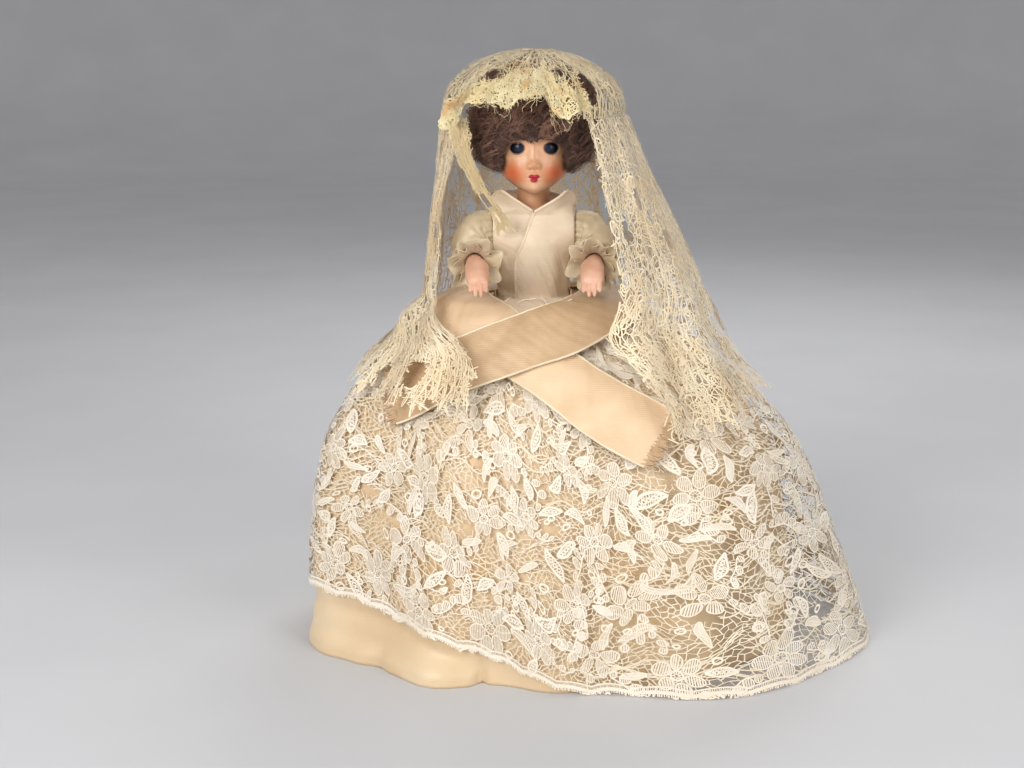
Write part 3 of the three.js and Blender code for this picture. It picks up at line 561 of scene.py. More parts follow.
def skirt_folds(angle):
    return 0.6 * np.cos(9 * angle + 0.6) + 0.4 * np.cos(5 * angle - 1.1)


def bell_radius(angle, share, train, folded):
    drop = 1 - share
    full = WAIST_R + (HEM_R * hem_share(np.degrees(angle)) - WAIST_R) * bell(share)
    trail = train * np.maximum(0, np.cos(angle + math.radians(8))) ** 3 * drop ** 1.4
    return full + folded * FOLD * drop ** 1.3 * skirt_folds(angle) + trail


def skirt_point(angle, share, lift, train=0.0, folded=1.0):
    """A point on the bell, lifted off it along the profile."""
    low, high = np.maximum(share - 0.01, 0), np.minimum(share + 0.01, 1)
    run = bell_radius(angle, high, train, folded) - bell_radius(angle, low, train, folded)
    rise = (high - low) * WAIST_Z
    length = np.hypot(run, rise)
    r = bell_radius(angle, share, train, folded) + lift * rise / length
    up = lift * -run / length * ramp(share, 0, 0.12)
    return polar(r, angle, WAIST_Z * share + up)


def lace_point(angle, share, lift):
    """A point on the lace overskirt, which lies over the satin and trails on the doll's left."""
    seam = mix(LAYER_GAP, CLEARANCE, ramp(share, 0.96, 1))
    return skirt_point(angle, share, CLOTH + seam + lift, TRAIN)


LACE_DRAWN = 1.22   # the lace is drawn up a little further than its solid
LACE_HIGHEST = math.radians(195)


def lace_hem(angle):
    """Height of the lace hem as a share of the waist's: on the floor at the left, drawn up at the right."""
    return LACE_DRAWN * LACE_RISE / WAIST_Z * np.maximum(0, np.cos(angle - LACE_HIGHEST)) ** 1.2


def gathers(angle, share):
    """Small pleats that open from the waist seam, about 0 to 1."""
    pleats = 0.5 + 0.5 * np.cos(46 * angle + 2 * np.sin(5 * angle))
    return pleats * ramp(share, 0.45, 0.9) * ramp(1 - share, 0, 0.04)


def hem_folds(angle, share):
    """The bare hem on the doll's right: a roll that ends at a fold, a hollow under the lace and two dents."""
    degrees = np.degrees(angle)
    bare = bump(degrees, 222, 38) * (1 - 0.75 * ramp(degrees, 247.5, 250.5))
    roll = (3.2 + 1.2 * ripple(angle * 9, 6)) * bump(np.maximum(share, 0.024), 0.024, 0.032)
    hollow = 2.0 * bump(share, lace_hem(angle) - 0.04, 0.026)
    dents = (2.2 * bump(degrees, 216, 4) + 2.4 * bump(degrees, 251, 1.8)) * bump(share, 0, 0.07)
    return (roll - hollow) * bare - dents


def satin_surface(u, v):
    angle = 2 * np.pi * u
    share = 1 - v ** 0.8
    soft = 0.25 * ripple(angle * 6 + share * 9, 3) * ramp(1 - share, 0.02, 0.2)
    return skirt_point(angle, share, 0.2 + 0.45 * gathers(angle, share) + soft + hem_folds(angle, share))


def petticoat_surface(u, v):
    angle = 2 * np.pi * u
    share = mix(0.985, 0.065, v)
    depth = CLOTH * 1.5 + 0.6 + 1.1 * FOLD * (1 - share) ** 1.1
    frill = 0.5 * np.cos(60 * angle) * ramp(1 - share, 0.75, 0.93)
    return skirt_point(angle, share, frill - depth, folded=0.0)


def make_skirts():
    skirt = mesh_object("satin_skirt_cloth", grid_shape(satin_surface, 300, 90, True), SATIN, 0.35)
    dress(skirt, "torso", "satin", "satin_skirt")
    cloth((440, 145))
    petticoat = mesh_object("petticoat_cloth", grid_shape(petticoat_surface, 240, 50, True), COTTON, 0.3)
    dress(petticoat, "torso", "cotton", "petticoat")
    cloth((410, 135))

    def band(u, v):
        return polar(WAIST_R - 0.5, 2 * np.pi * u, WAIST_Z - WAISTBAND * v)

    waist = mesh_object("waistband_cloth", grid_shape(band, 90, 6, True), SATIN, 0.35)
    dress(waist, "torso", "satin", "waistband")
    cloth((80, 10))


# Lace overskirt

LACE_REACH = 70      # radius at which the lace pattern has its true width
LACE_ROUND = 2 * math.pi * LACE_REACH
SCALLOP = 13         # length of a scallop of the hem
SPRAY_PITCH = 22     # between groups of the design, round the skirt
SPRAY_RISE = 18.5    # between their rows
SPRAY_ROWS = 8
ANGLE_STEPS = np.linspace(0, 2 * np.pi, 181)


def lace_depths():
    """For steps of angle, the share of the height at each millimetre of cloth above the hem."""
    depths = np.arange(0, 200)
    table = np.ones((len(ANGLE_STEPS), len(depths)))
    length = np.zeros(len(ANGLE_STEPS))
    for i, angle in enumerate(ANGLE_STEPS):
        share = np.linspace(lace_hem(angle), 1, 240)
        path = lace_point(np.full_like(share, angle), share, CLOTH / 2)
        along = np.concatenate([[0], np.cumsum(np.linalg.norm(np.diff(path, axis=0), axis=1))])
        table[i] = np.interp(depths, along, share)
        length[i] = along[-1]
    return table, length


LACE_TABLE, LACE_LENGTH = lace_depths()


def table_value(table, angle, level):
    """A table over steps of angle and whole millimetres, read between its entries."""
    turn = np.mod(angle, 2 * np.pi) / (2 * np.pi) * (len(table) - 1)
    i = np.minimum(turn.astype(int), len(table) - 2)
    level = np.clip(level, 0, table.shape[1] - 1.001)
    j = level.astype(int)
    t, s = turn - i, level - j
    return mix(mix(table[i, j], table[i, j + 1], s), mix(table[i + 1, j], table[i + 1, j + 1], s), t)


def lace_surface(x, y, lift):
    """Lace millimetres, round the skirt and up from the hem, to a place on the skirt."""
    angle = x / LACE_REACH
    share = np.clip(table_value(LACE_TABLE, angle, y), 0, 1)
    puff = 0.3 * ripple(angle * 9 + y * 0.12, 8) * ramp(1 - share, 0.02, 0.2)
    points = lace_point(angle, share, CLOTH / 2 + puff + 0.5 * gathers(angle, share) + lift)
    points[:, 2] = np.maximum(points[:, 2] + np.minimum(y, 0), 0.15 + lift * 0.3)
    return points


def cloth_length(x):
    """Length of the lace from hem to waist at a place round the skirt."""
    return np.interp(np.mod(x / LACE_REACH, 2 * np.pi), ANGLE_STEPS, LACE_LENGTH)


def wander(points, size, seed):
    """Shift flat points smoothly, so that a regular net looks pulled about."""
    x, y = points[..., 0], points[..., 1]
    dx = ripple(x * 0.06 + y * 0.09, seed) + 0.6 * ripple(y * 0.21 - x * 0.05, seed + 1)
    dy = ripple(y * 0.07 - x * 0.08, seed + 2) + 0.6 * ripple(x * 0.19 + y * 0.04, seed + 3)
    return points + size * np.stack([dx, dy], -1)


def hex_net(width, height, cell, tall, rng, jitter):
    """Start and end points of the threads of a six-sided net."""
    columns, rows = int(width / cell) + 1, int(height / (cell * 0.75 * tall)) + 2
    i, j = np.meshgrid(np.arange(columns), np.arange(rows))
    base = np.stack([(i + 0.5 * (j % 2)) * cell, j * cell * 0.75 * tall], -1)
    shake = rng.uniform(-jitter, jitter, base.shape + (2,)) * cell
    top = base + [0, 0.25 * cell * tall] + shake[..., 0]
    low = base - [0, 0.25 * cell * tall] + shake[..., 1]
    pairs = [(low.reshape(-1, 2), top.reshape(-1, 2))]
    for row in range(rows - 1):
        here, above = top[row], low[row + 1]
        pairs.append((here, above))
        pairs.append((here[1:], above[:-1]) if row % 2 == 0 else (here[:-1], above[1:]))
    return np.concatenate([a for a, _ in pairs]), np.concatenate([b for _, b in pairs])


def torn(rng, count, low, high, small, large):
    """A test that is false inside a number of oval holes."""
    spots = rng.uniform(low, high, (count, 2))
    sizes = rng.uniform(small, large, (count, 2))

    def whole(x, y):
        sound = np.ones(len(x), bool)
        for (cx, cy), (rx, ry) in zip(spots, sizes):
            sound &= ((x - cx) / rx) ** 2 + ((y - cy) / ry) ** 2 > 1
        return sound

    return whole


def oval(centre, long, wide, turn, count=16):
    t = np.linspace(0, 2 * np.pi, count, endpoint=False)
    x, y = long * np.cos(t), wide * np.sin(t)
    c, s = math.cos(turn), math.sin(turn)
    return centre + np.stack([x * c - y * s, x * s + y * c], 1)


def striped_oval(pattern, centre, long, wide, turn, pitch=0.58, lift=0.2):
    """A petal: close upright stitches inside a raised outline."""
    pattern.thread(oval(centre, long, wide, turn, 14), 0.36, lift + 0.12, True)
    c, s = math.cos(turn), math.sin(turn)
    square = s * s / long ** 2 + c * c / wide ** 2
    half = math.hypot(long * c, wide * s)
    x = np.arange(-half + pitch * 0.6, half - pitch * 0.2, pitch)
    slope = x * s * c * (1 / long ** 2 - 1 / wide ** 2)
    rest = x ** 2 * (c * c / long ** 2 + s * s / wide ** 2) - 1
    reach = np.sqrt(np.maximum(0, slope ** 2 - square * rest))
    low = centre + np.stack([x, (-slope - reach) / square], 1)
    high = centre + np.stack([x, (-slope + reach) / square], 1)
    pattern.segments(low, high, pitch * 0.58, lift)


def toward(heading):
    return np.array([math.cos(heading), math.sin(heading)])


def flower(pattern, centre, size, turn, petals, rng):
    """Striped petals round a ring with short rays."""
    for k in range(petals):
        heading = turn + 2 * math.pi * k / petals
        grown = size * rng.uniform(0.85, 1.15)
        striped_oval(pattern, centre + toward(heading) * grown * 0.64, grown * 0.36, grown * 0.26, heading)
    pattern.thread(oval(centre, size * 0.22, size * 0.2, 0, 12), 0.5, 0.35, True)
    rays = np.stack([toward(turn + 2 * math.pi * k / 9) for k in range(9)])
    pattern.segments(centre + rays * size * 0.06, centre + rays * size * 0.3, 0.28, 0.3)


def bent_path(start, heading, length, bend, count):
    """A path whose heading turns by bend along its length, and the headings."""
    turn = heading + bend * np.linspace(0, 1, count)
    step = np.stack([np.cos(turn), np.sin(turn)], 1) * length / (count - 1)
    return start + np.concatenate([[[0, 0]], np.cumsum(step[:-1], 0)]), turn


def garland(pattern, start, heading, length, bend, size):
    """A cord with small petals one after another along one side of it."""
    count = max(3, int(length / (size * 1.25)))
    path, turn = bent_path(start, heading, length, bend, count)
    pattern.thread(path, 0.45, 0.3)
    for k in range(count):
        swell = size * (0.65 + 0.45 * math.sin(math.pi * (k + 0.5) / count))
        side = toward(turn[k] + math.pi / 2) * swell * 0.8
        striped_oval(pattern, path[k] + side, swell * 0.8, swell * 0.6, turn[k] + 0.9)


def leaf(pattern, start, heading, length, bend, wide):
    """A curved leaf of close stitches inside a raised outline."""
    path, turn = bent_path(start, heading, length, bend, 21)
    swell = wide * np.sin(np.pi * np.linspace(0.03, 1, 21)) ** 0.8 / 2
    side = np.stack([-np.sin(turn), np.cos(turn)], 1) * swell[:, None]
    pattern.thread(path - side, 0.4, 0.32)
    pattern.thread(path + side, 0.4, 0.32)
    pattern.segments(path - side, path + side, 0.34, 0.2)
    pattern.thread(path, 0.35, 0.3)


def ladder(pattern, start, heading, length, bend, wide):
    """Two raised cords with bars between them and a chain of eyelets down the middle."""
    path, turn = bent_path(start, heading, length, bend, 15)
    swell = wide * np.sin(np.pi * np.linspace(0, 1, 15)) / 2
    side = np.stack([-np.sin(turn), np.cos(turn)], 1) * swell[:, None]
    pattern.thread(path - side, 0.7, 0.3)
    pattern.thread(path + side, 0.7, 0.3)
    pattern.segments((path - side)[1:-1], (path + side)[2:], 0.26, 0.15)
    for at in path[3:-3:2]:
        pattern.thread(oval(at, 0.7, 0.5, 0, 8), 0.4, 0.3, True)


def spray(pattern, centre, rng, size):
    """One group of the lace design: a flower with leaves, ladders, garlands and rings round it."""
    turn = rng.uniform(0, 2 * math.pi)
    flower(pattern, centre, size, turn, int(rng.integers(5, 8)), rng)
    for k in range(5):
        heading = turn + 0.4 + 2 * math.pi * k / 5 + rng.uniform(-0.3, 0.3)
        start = centre + size * 1.05 * toward(heading)
        length = size * rng.uniform(1.1, 1.7)
        kind = rng.random()
        if kind < 0.3:
            ladder(pattern, start, heading, length, rng.uniform(-1.2, 1.2), size * 0.5)
        elif kind < 0.6:
            leaf(pattern, start, heading, length, rng.uniform(-1.6, 1.6), size * 0.34)
        else:
            garland(pattern, start, heading + rng.uniform(-0.8, 0.8), length, rng.uniform(-2, 2), size * 0.26)
    for k in range(int(rng.integers(2, 5))):
        away = centre + size * rng.uniform(1.2, 1.8) * toward(rng.uniform(0, 2 * math.pi))
        ring = rng.uniform(0.8, 1.5)
        pattern.thread(oval(away, ring, ring * 0.8, 0, 10), 0.6, 0.3, True)


def lace_laid(x, y, lift):
    """The lace design pulled out of true, on the skirt."""
    pulled = wander(np.stack([x, y], 1), 2.3 * ramp(y, 2, 14)[:, None], 24)
    return lace_surface(pulled[:, 0], pulled[:, 1], lift)


def scallop_low(x):
    """Height of the scalloped edge above the hem."""
    return 1.2 + 1.0 * np.abs(np.sin(x * math.pi / SCALLOP))


def lace_motifs():
    """Sprays over the whole skirt, with larger flowers and a picot edge along the hem."""
    rng = np.random.default_rng(12)
    pattern = Pattern()
    columns = round(LACE_ROUND / SPRAY_PITCH)
    for j in range(SPRAY_ROWS):
        for i in range(columns):
            even = [(i + 0.5 * (j % 2)) * LACE_ROUND / columns, 11 + j * SPRAY_RISE]
            centre = np.array(even) + rng.uniform(-4, 4, 2)
            if centre[1] < cloth_length(centre[0]) - 12:
                spray(pattern, centre, rng, rng.uniform(4.8, 7.2) if j else rng.uniform(6, 8))
    edge = np.arange(0, LACE_ROUND, 0.5)
    scallop = scallop_low(edge)
    pattern.thread(np.stack([edge, scallop], 1), 1.1, 0.25)
    pattern.thread(np.stack([edge, scallop + 1.6], 1), 0.45, 0.25)
    tips = np.stack([edge, scallop - 1.3], 1)
    tips = tips + rng.uniform(-0.25, 0.25, tips.shape)
    pattern.segments(np.stack([edge, scallop - 0.3], 1), tips, 0.3, 0.2)
    pattern.segments(np.stack([edge, scallop], 1), np.stack([edge + 0.25, scallop + 1.6], 1), 0.2, 0.15)
    return pattern.shape(lace_laid, lambda x, y: y > scallop_low(x) - 1.6)


def lace_net():
    """The ground of the lace: a fine net with drawn threads, pulled about and torn away in places."""
    rng = np.random.default_rng(5)
    starts, ends = hex_net(LACE_ROUND, 170, 2.3, 0.9, rng, 0.3)
    pattern = Pattern()
    pattern.segments(wander(starts, 3.4, 20), wander(ends, 3.4, 20), rng.uniform(0.15, 0.36, len(starts)))
    drawn = 520
    x = rng.uniform(0, LACE_ROUND, (drawn, 1)) + np.linspace(0, 1, 24) * rng.uniform(14, 40, (drawn, 1))
    y = rng.uniform(4, 130, (drawn, 1)) + 1.3 * np.sin(x * rng.uniform(0.25, 0.5, (drawn, 1)))
    pattern.fibres(np.stack([x, y + 0.06 * (x - x[:, :1])], -1), rng.uniform(0.25, 0.5, drawn), 0.15)
    whole = torn(rng, 110, [0, 12], [LACE_ROUND, 120], [1.6, 1.4], [4.5, 3])
    return pattern.shape(lace_surface, lambda x, y: (y > 1.5) & (y < cloth_length(x)) & whole(x, y))


def make_lace():
    motifs = dress(mesh_object("lace_motifs", lace_motifs(), LACE), "torso", "lace", "lace_overskirt")
    net = dress(mesh_object("lace_net", lace_net(), NET), "torso", "lace", "lace_overskirt")
    cloth((440, 150))


# Head: the solid's shape with a finer face

head_wide = through([(0, 0.2), (0.05, 0.45), (0.1, 0.63), (0.15, 0.77), (0.28, 0.88), (0.45, 0.96), (0.62, 1),
                     (0.78, 0.93), (0.9, 0.7), (0.97, 0.4), (1, 0.1)])
head_front = through([(0, 0.66), (0.05, 0.86), (0.14, 0.97), (0.28, 0.97), (0.45, 0.96), (0.6, 1),
                      (0.75, 0.95), (0.88, 0.72), (0.96, 0.42), (1, 0.1)])
head_back = through([(0, 0.02), (0.05, 0.12), (0.14, 0.32), (0.28, 0.62), (0.45, 0.88), (0.62, 1),
                     (0.78, 0.95), (0.9, 0.72), (0.97, 0.42), (1, 0.1)])


def head_point(angle, share, grow=0.0):
    depth = np.where(np.sin(angle) < 0, FACE_DEPTH * head_front(share), SKULL_DEPTH * head_back(share))
    x = np.maximum(HEAD_HALF * head_wide(share) + grow, 0.2) * np.cos(angle)
    y = np.maximum(depth + grow, 0.2) * np.sin(angle)
    return stack(x, y, CHIN_Z + HEAD_HEIGHT * share + grow * share)


def face_relief(x, z):
    """How far the face stands out from the plain head."""
    side = np.abs(x)
    nose = 1.5 * bump(x, 0, 1.5) * bump(z, NOSE_Z, 1.3) + 0.55 * bump(x, 0, 1.9) * bump(z, NOSE_Z + 2.6, 2.4)
    wings = 0.6 * bump(side, 1.6, 0.65) * bump(z, NOSE_Z - 0.7, 0.7)
    nostrils = 0.4 * bump(side, 0.8, 0.35) * bump(z, NOSE_Z - 1.6, 0.35)
    upper = 0.7 * bump(side, 0.75, 0.8) * bump(z, MOUTH_Z + 0.5, 0.5)
    lower = 0.85 * bump(x, 0, 1.1) * bump(z, MOUTH_Z - 0.65, 0.6)
    parting = 0.45 * bump(x, 0, 1.6) * bump(z, MOUTH_Z, 0.16)
    chin = 0.9 * bump(x, 0, 3) * bump(z, CHIN_Z + 2, 1.8)
    cheeks = 0.7 * bump(side, 6.3, 2.8) * bump(z, NOSE_Z - 1.8, 3)
    sockets = 0.95 * bump(side, EYE_X, 3.1) * bump(z, EYE_Z, 2.5)
    return nose + wings - nostrils + upper + lower - parting + chin + cheeks - sockets


def head_shape():
    """The painted head with an opening round each eye, and the neck below it."""
    def surface(u, v):
        angle = 2 * np.pi * u
        points = head_point(angle, v)
        front = np.maximum(0, -np.sin(angle))
        points[:, 1] -= face_relief(points[:, 0], points[:, 2]) * front
        for side in (-1, 1):
            away = np.linalg.norm(points - [side * EYE_X, EYE_Y, EYE_Z], axis=1)
            points[:, 1] -= 0.28 * bump(away, EYE_R + 0.5, 0.3) * front
        return points

    points, faces = grid_shape(surface, 300, 220, True)
    inside = np.zeros(len(points), bool)
    for side in (-1, 1):
        centre = np.array([side * EYE_X, EYE_Y, EYE_Z])
        away = points - centre
        near = (np.linalg.norm(away, axis=1) < EYE_R + 0.15) & (away[:, 1] < 0)
        points[near] = centre + unit(away[near]) * (EYE_R + 0.15)
        inside |= near
    face = points, faces[~inside[faces].all(1)]

    def neck(u, v):
        flare = 0.5 * (1 - ramp(v, 0, 0.3))
        return polar(NECK_R - 0.1 + flare * 0.4, 2 * np.pi * u, mix(NECK_Z - 4, CHIN_Z + 4, v), NECK_Y)

    def jaw(u, v):
        return head_point(2 * np.pi * u, np.zeros_like(u)) * stack(1 - v, 1 - v, 1) + stack(0, -4 * v, 0)

    return merged(face, grid_shape(neck, 60, 12, True), grid_shape(jaw, 300, 4, True))


def make_head():
    dress(mesh_object("head_skin", head_shape(), FACE), "head", "flesh", "head_shell")
    for name, side in SIDES:
        def eyeball(u, v):
            turn = np.pi * v
            spread = EYE_R * np.sin(turn)
            return stack(side * EYE_X + spread * np.cos(2 * np.pi * u), EYE_Y - EYE_R * np.cos(turn),
                         EYE_Z + spread * np.sin(2 * np.pi * u))

        ball = mesh_object(f"{name}_eye_glass", grid_shape(eyeball, 48, 32, True), eye_material(name, side))
        dress(ball, "eyes", "eye", f"{name}_eye")


# Wig: a full base with mohair strands over it, open round the face

wig_wide = through([(WIG_FOOT, 0.8), (0.25, 0.94), (0.44, 1), (0.67, 0.96), (0.85, 0.75), (0.95, 0.42),
                    (1, 0.08)])
wig_front = through([(WIG_FOOT, 0.64), (0.3, 0.85), (0.44, 0.95), (0.6, 1), (0.75, 0.95), (0.88, 0.7),
                     (0.96, 0.4), (1, 0.08)])
wig_back = through([(WIG_FOOT, 0.66), (0.25, 0.86), (0.45, 1), (0.67, 0.97), (0.85, 0.75), (0.95, 0.42),
                    (1, 0.08)])
HEAD_MIDDLE = np.array([0, 1, CHIN_Z + 0.5 * HEAD_HEIGHT])
WINDOW_HALF = 0.74 * HEAD_HALF
WINDOW_CORNER = 5


def window_gap(points):
    """Distance outside the rounded opening round the face, large behind the head."""
    dx = np.abs(points[..., 0]) - WINDOW_HALF + WINDOW_CORNER
    dz = points[..., 2] - HAIRLINE_Z + WINDOW_CORNER
    gap = np.hypot(np.maximum(dx, 0), np.maximum(dz, 0)) + np.minimum(np.maximum(dx, dz), 0) - WINDOW_CORNER
    gap = gap + 0.5 * ripple(points[..., 0] * 0.8 + points[..., 2] * 0.5, 35)
    return np.where(points[..., 1] < 0, gap, 20)


def wig_point(angle, share, lift=0.0):
    """A point on the hair, which rolls under at its foot and in towards the face."""
    share = np.clip(share, WIG_FOOT, 1)
    front = (FACE_DEPTH + 0.76 * HAIR) * wig_front(share)
    back = (SKULL_DEPTH + HAIR) * wig_back(share)
    depth = np.where(np.sin(angle) < 0, front, back)
    half = (HEAD_HALF + HAIR) * wig_wide(share)
    full = stack(half * np.cos(angle), depth * np.sin(angle), CHIN_Z + WIG_HEIGHT * share)
    skull = head_point(angle, np.clip((full[..., 2] - CHIN_Z) / HEAD_HEIGHT, 0, 1), 0.5)
    skull[..., 2] = full[..., 2]
    roll = np.minimum(dome(window_gap(full) / 5), dome((share - WIG_FOOT) / 0.14))[..., None]
    away = unit(full - HEAD_MIDDLE)
    return mix(skull, full, 0.12 + 0.88 * roll) + away * np.asarray(lift)[..., None]


def wig_curls(rng, count, strands, radius, length, width, stand):
    """Bundles of strands that each wind as a loose curl down the hair."""
    t = np.linspace(0, 1, 22)
    angle = rng.uniform(0, 2 * np.pi, (count, 1, 1))
    start = WIG_FOOT + (1 - WIG_FOOT) * rng.uniform(0.03, 1, (count, 1, 1)) ** 0.8
    fall = rng.uniform(0.6, 1.3, (count, 1, 1)) * length / WIG_HEIGHT
    lean = rng.normal(0, 2.5, (count, 1, 1))
    wind = 2 * np.pi * rng.uniform(0.8, 1.9, (count, 1, 1)) * t + rng.uniform(0, PHASES, (count, 1, 1))
    wind = wind + rng.normal(0, 0.3, (count, strands, 1))
    wide = radius * rng.uniform(0.6, 1.2, (count, 1, 1)) * rng.uniform(0.7, 1.2, (count, strands, 1))
    sideways = wide * np.cos(wind) + lean * t + rng.normal(0, 0.3, (count, strands, 1))
    share = start - fall * t + 0.4 * wide * np.sin(wind) / WIG_HEIGHT
    lift = stand * rng.uniform(0.2, 1, (count, strands, 1)) + 0.5 * wide * (1 + np.sin(wind))
    lift = 0.05 + lift * (1 - 0.95 * ramp(share, 0.72, 0.92))
    paths = wig_point(angle + sideways / 17, share, lift).reshape(-1, len(t), 3)
    fair = (window_gap(paths).min(1) > -1.3) & (share.reshape(-1, len(t)).min(1) > WIG_FOOT - 0.03)
    normals = unit(paths - HEAD_MIDDLE)
    widths = width * rng.uniform(0.6, 1.2, (count * strands, 1)) * (1 - 0.5 * t)
    return strip_shape(paths[fair], widths[fair], normals[fair])


def make_wig():
    def base(u, v):
        angle, share = 2 * np.pi * u, mix(1, WIG_FOOT, v)
        lumps = 0.5 * ripple(angle * 7 + share * 11, 31) + 0.4 * ripple(angle * 13 - share * 25, 32)
        return wig_point(angle, share, lumps)

    body = kept(grid_shape(base, 240, 120, True), lambda centre: window_gap(centre) > -0.2)
    rng = np.random.default_rng(41)
    dark = merged(body, wig_curls(rng, 520, 7, 1.3, 9, 0.24, 0.3))
    brown = merged(wig_curls(rng, 560, 6, 1.5, 8, 0.16, 0.5), wig_curls(rng, 1500, 1, 1.8, 6, 0.09, 1.6))
    dress(mesh_object("wig_hair", dark, HAIR_DARK), "head", "hair", "wig")
    dress(mesh_object("wig_light_hair", brown, HAIR_BROWN), "head", "hair", "wig")


# Arms, sleeves and cuffs: laid along the same curve as the solid arm

# Sideways, forward and upward place, half width and half thickness at even steps along the arm
ARM_STATIONS = [
    (0, 0, 0, 4.2, 4.2),
    (3.7, -0.2, -0.3, 4.4, 4.4),
    (6.8, -1.5, -4, 4, 4),
    (7.2, -6, -9.5, 3.6, 3.6),
    (7.2, -13, -10, 3.3, 3.2),
    (6.1, -22, -7.5, 2.6, 2.5),
    (5.5, -27, -8.2, 3.4, 2.6),
    (5.1, -31, -10, 3.6, 2.4),
    (4.8, -35, -13, 3, 1.9),
    (4.7, -37.5, -15.5, 1.5, 1),
]
ARM_ROOT = np.array([CHEST_HALF + CLEARANCE, SHOULDER_Y, SHOULDER_Z])
SLEEVE_END = 0.545    # along the arm
CUFF_START = 0.553
arm_tracks = [through([(i / 9, station[k]) for i, station in enumerate(ARM_STATIONS)]) for k in range(5)]


def arm_frame(v):
    """Centre of the arm at v from 0 to 1, with its sideways and upward directions."""
    v = np.asarray(v, float)
    centre = ARM_ROOT + np.stack([track(v) for track in arm_tracks[:3]], -1)
    ahead = ARM_ROOT + np.stack([track(np.minimum(v + 0.01, 1)) for track in arm_tracks[:3]], -1)
    behind = ARM_ROOT + np.stack([track(np.maximum(v - 0.01, 0)) for track in arm_tracks[:3]], -1)
    along = unit(ahead - behind)
    across = unit(np.cross(np.array([0, -0.4, 0.9]), along))
    return centre, across, unit(np.cross(along, across))


def arm_ring(v, u, wide, thick):
    centre, across, over = arm_frame(v)
    turn = 2 * np.pi * u
    return centre + across * (wide * np.cos(turn))[..., None] + over * (thick * np.sin(turn))[..., None]


def finger(offset, start, end, radius, curl, spread=1.0):
    """A finger along the arm's curve, set to one side of its middle."""
    t = np.linspace(0, 1, 14)
    centre, across, over = arm_frame(np.linspace(start, end, 14))
    knuckles = 0.35 * bump(t, 0.3, 0.12) + 0.2 * bump(t, 0.65, 0.1)
    sideways = across * (offset * mix(1, spread, t))[:, None]
    path = centre + sideways + over * (0.5 + knuckles - curl * t ** 2)[:, None]
    swell = radius * (1 + 0.12 * bump(t, 0.3, 0.1) + 0.1 * bump(t, 0.65, 0.08)) * (1 - 0.25 * t)
    return path[None], (swell * dome((1 - t) / 0.12) * dome((t + 0.02) / 0.1))[None]


def arm_shape():
    """Arm, palm and fingers of the left arm, to be fused into one skin."""
    def limb(u, v):
        place_on = 0.88 * v
        closing = dome(v / 0.03) * dome((1 - v) / 0.06)
        return arm_ring(place_on, u, arm_tracks[3](place_on) * closing, arm_tracks[4](place_on) * closing)

    fingers = [tube_shape(*finger(offset, 0.66, end, 0.85, curl, 1.02), 10) for offset, end, curl in
               ((-2.4, 0.955, 0.7), (-0.8, 1.0, 0.9), (0.8, 0.99, 1.0), (2.3, 0.94, 0.9))]
    thumb = tube_shape(*finger(-3.3, 0.58, 0.8, 0.95, 1.6, 0.75), 10)
    return merged(grid_shape(limb, 40, 80, True), *fingers, thumb)


sleeve_full = through([(0, 4.9), (0.06, 5.3), (0.16, 5.9), (0.33, 5.9), (0.44, 6.1), (0.5, 5.7),
                       (SLEEVE_END, 3.4)])


def sleeve_surface(u, v):
    place_on = mix(0.025, SLEEVE_END, v)
    turn = 2 * np.pi * u
    pleats = 0.4 * np.cos(15 * turn + 2 * np.sin(2 * turn)) * (ramp(v, 0.5, 0.95) + 0.5 * ramp(1 - v, 0.6, 1))
    coarse = 0.6 * ripple(v * 17 + 3 * np.sin(turn), 52)
    fine = 0.35 * ripple(v * 31 - 4 * np.sin(turn + 1), 53)
    creases = (coarse + fine) * bump(v, 0.5, 0.32)
    r = np.maximum(sleeve_full(place_on), arm_tracks[3](place_on) + 0.6) + CLOTH / 2 + pleats * 0.8 + creases
    return arm_ring(place_on, u, r, r)


def frill_surface(u, v, reach, waves, phase):
    """A waved frill that opens round the wrist."""
    turn = 2 * np.pi * u
    place_on = mix(CUFF_START, CUFF_START + 0.1 * reach, v - 0.25 * v ** 3)
    wave = np.cos(waves * turn + phase) + 0.45 * np.cos((waves + 4) * turn - 2 * phase)
    r = mix(2.9, 3.7 + 4.3 * reach, v ** 0.8) + 1.0 * v * wave
    points = arm_ring(place_on, u, r, r)
    points[:, 1] += 1.1 * v ** 2 * np.cos(waves * turn + phase + 1.2)
    return points


def make_arms():
    for name, side in SIDES:
        body = f"{name}_arm"
        arm = mesh_object(f"{name}_arm_skin", mirrored(arm_shape(), side), FLESH, voxel=0.22, soften=3)
        dress(arm, body, "flesh", f"{name}_arm")
        puff = mirrored(grid_shape(sleeve_surface, 180, 70, True), side)
        sleeve = mesh_object(f"{name}_sleeve_cloth", puff, SLEEVE, 0.3)
        dress(sleeve, body, "satin", f"{name}_sleeve")
        cloth((50, 42))
        frill = merged(grid_shape(lambda u, v: frill_surface(u, v, 1.0, 7, side), 180, 14, True),
                       grid_shape(lambda u, v: frill_surface(u, v, 0.62, 8, 2 + side), 180, 10, True))
        cuff = mesh_object(f"{name}_cuff_cloth", mirrored(frill, side), SLEEVE, 0.25)
        dress(cuff, body, "satin", f"{name}_cuff_frill")
        cloth((62, 10))


# Bodice: a back and two crossing fronts, with the edges turned in

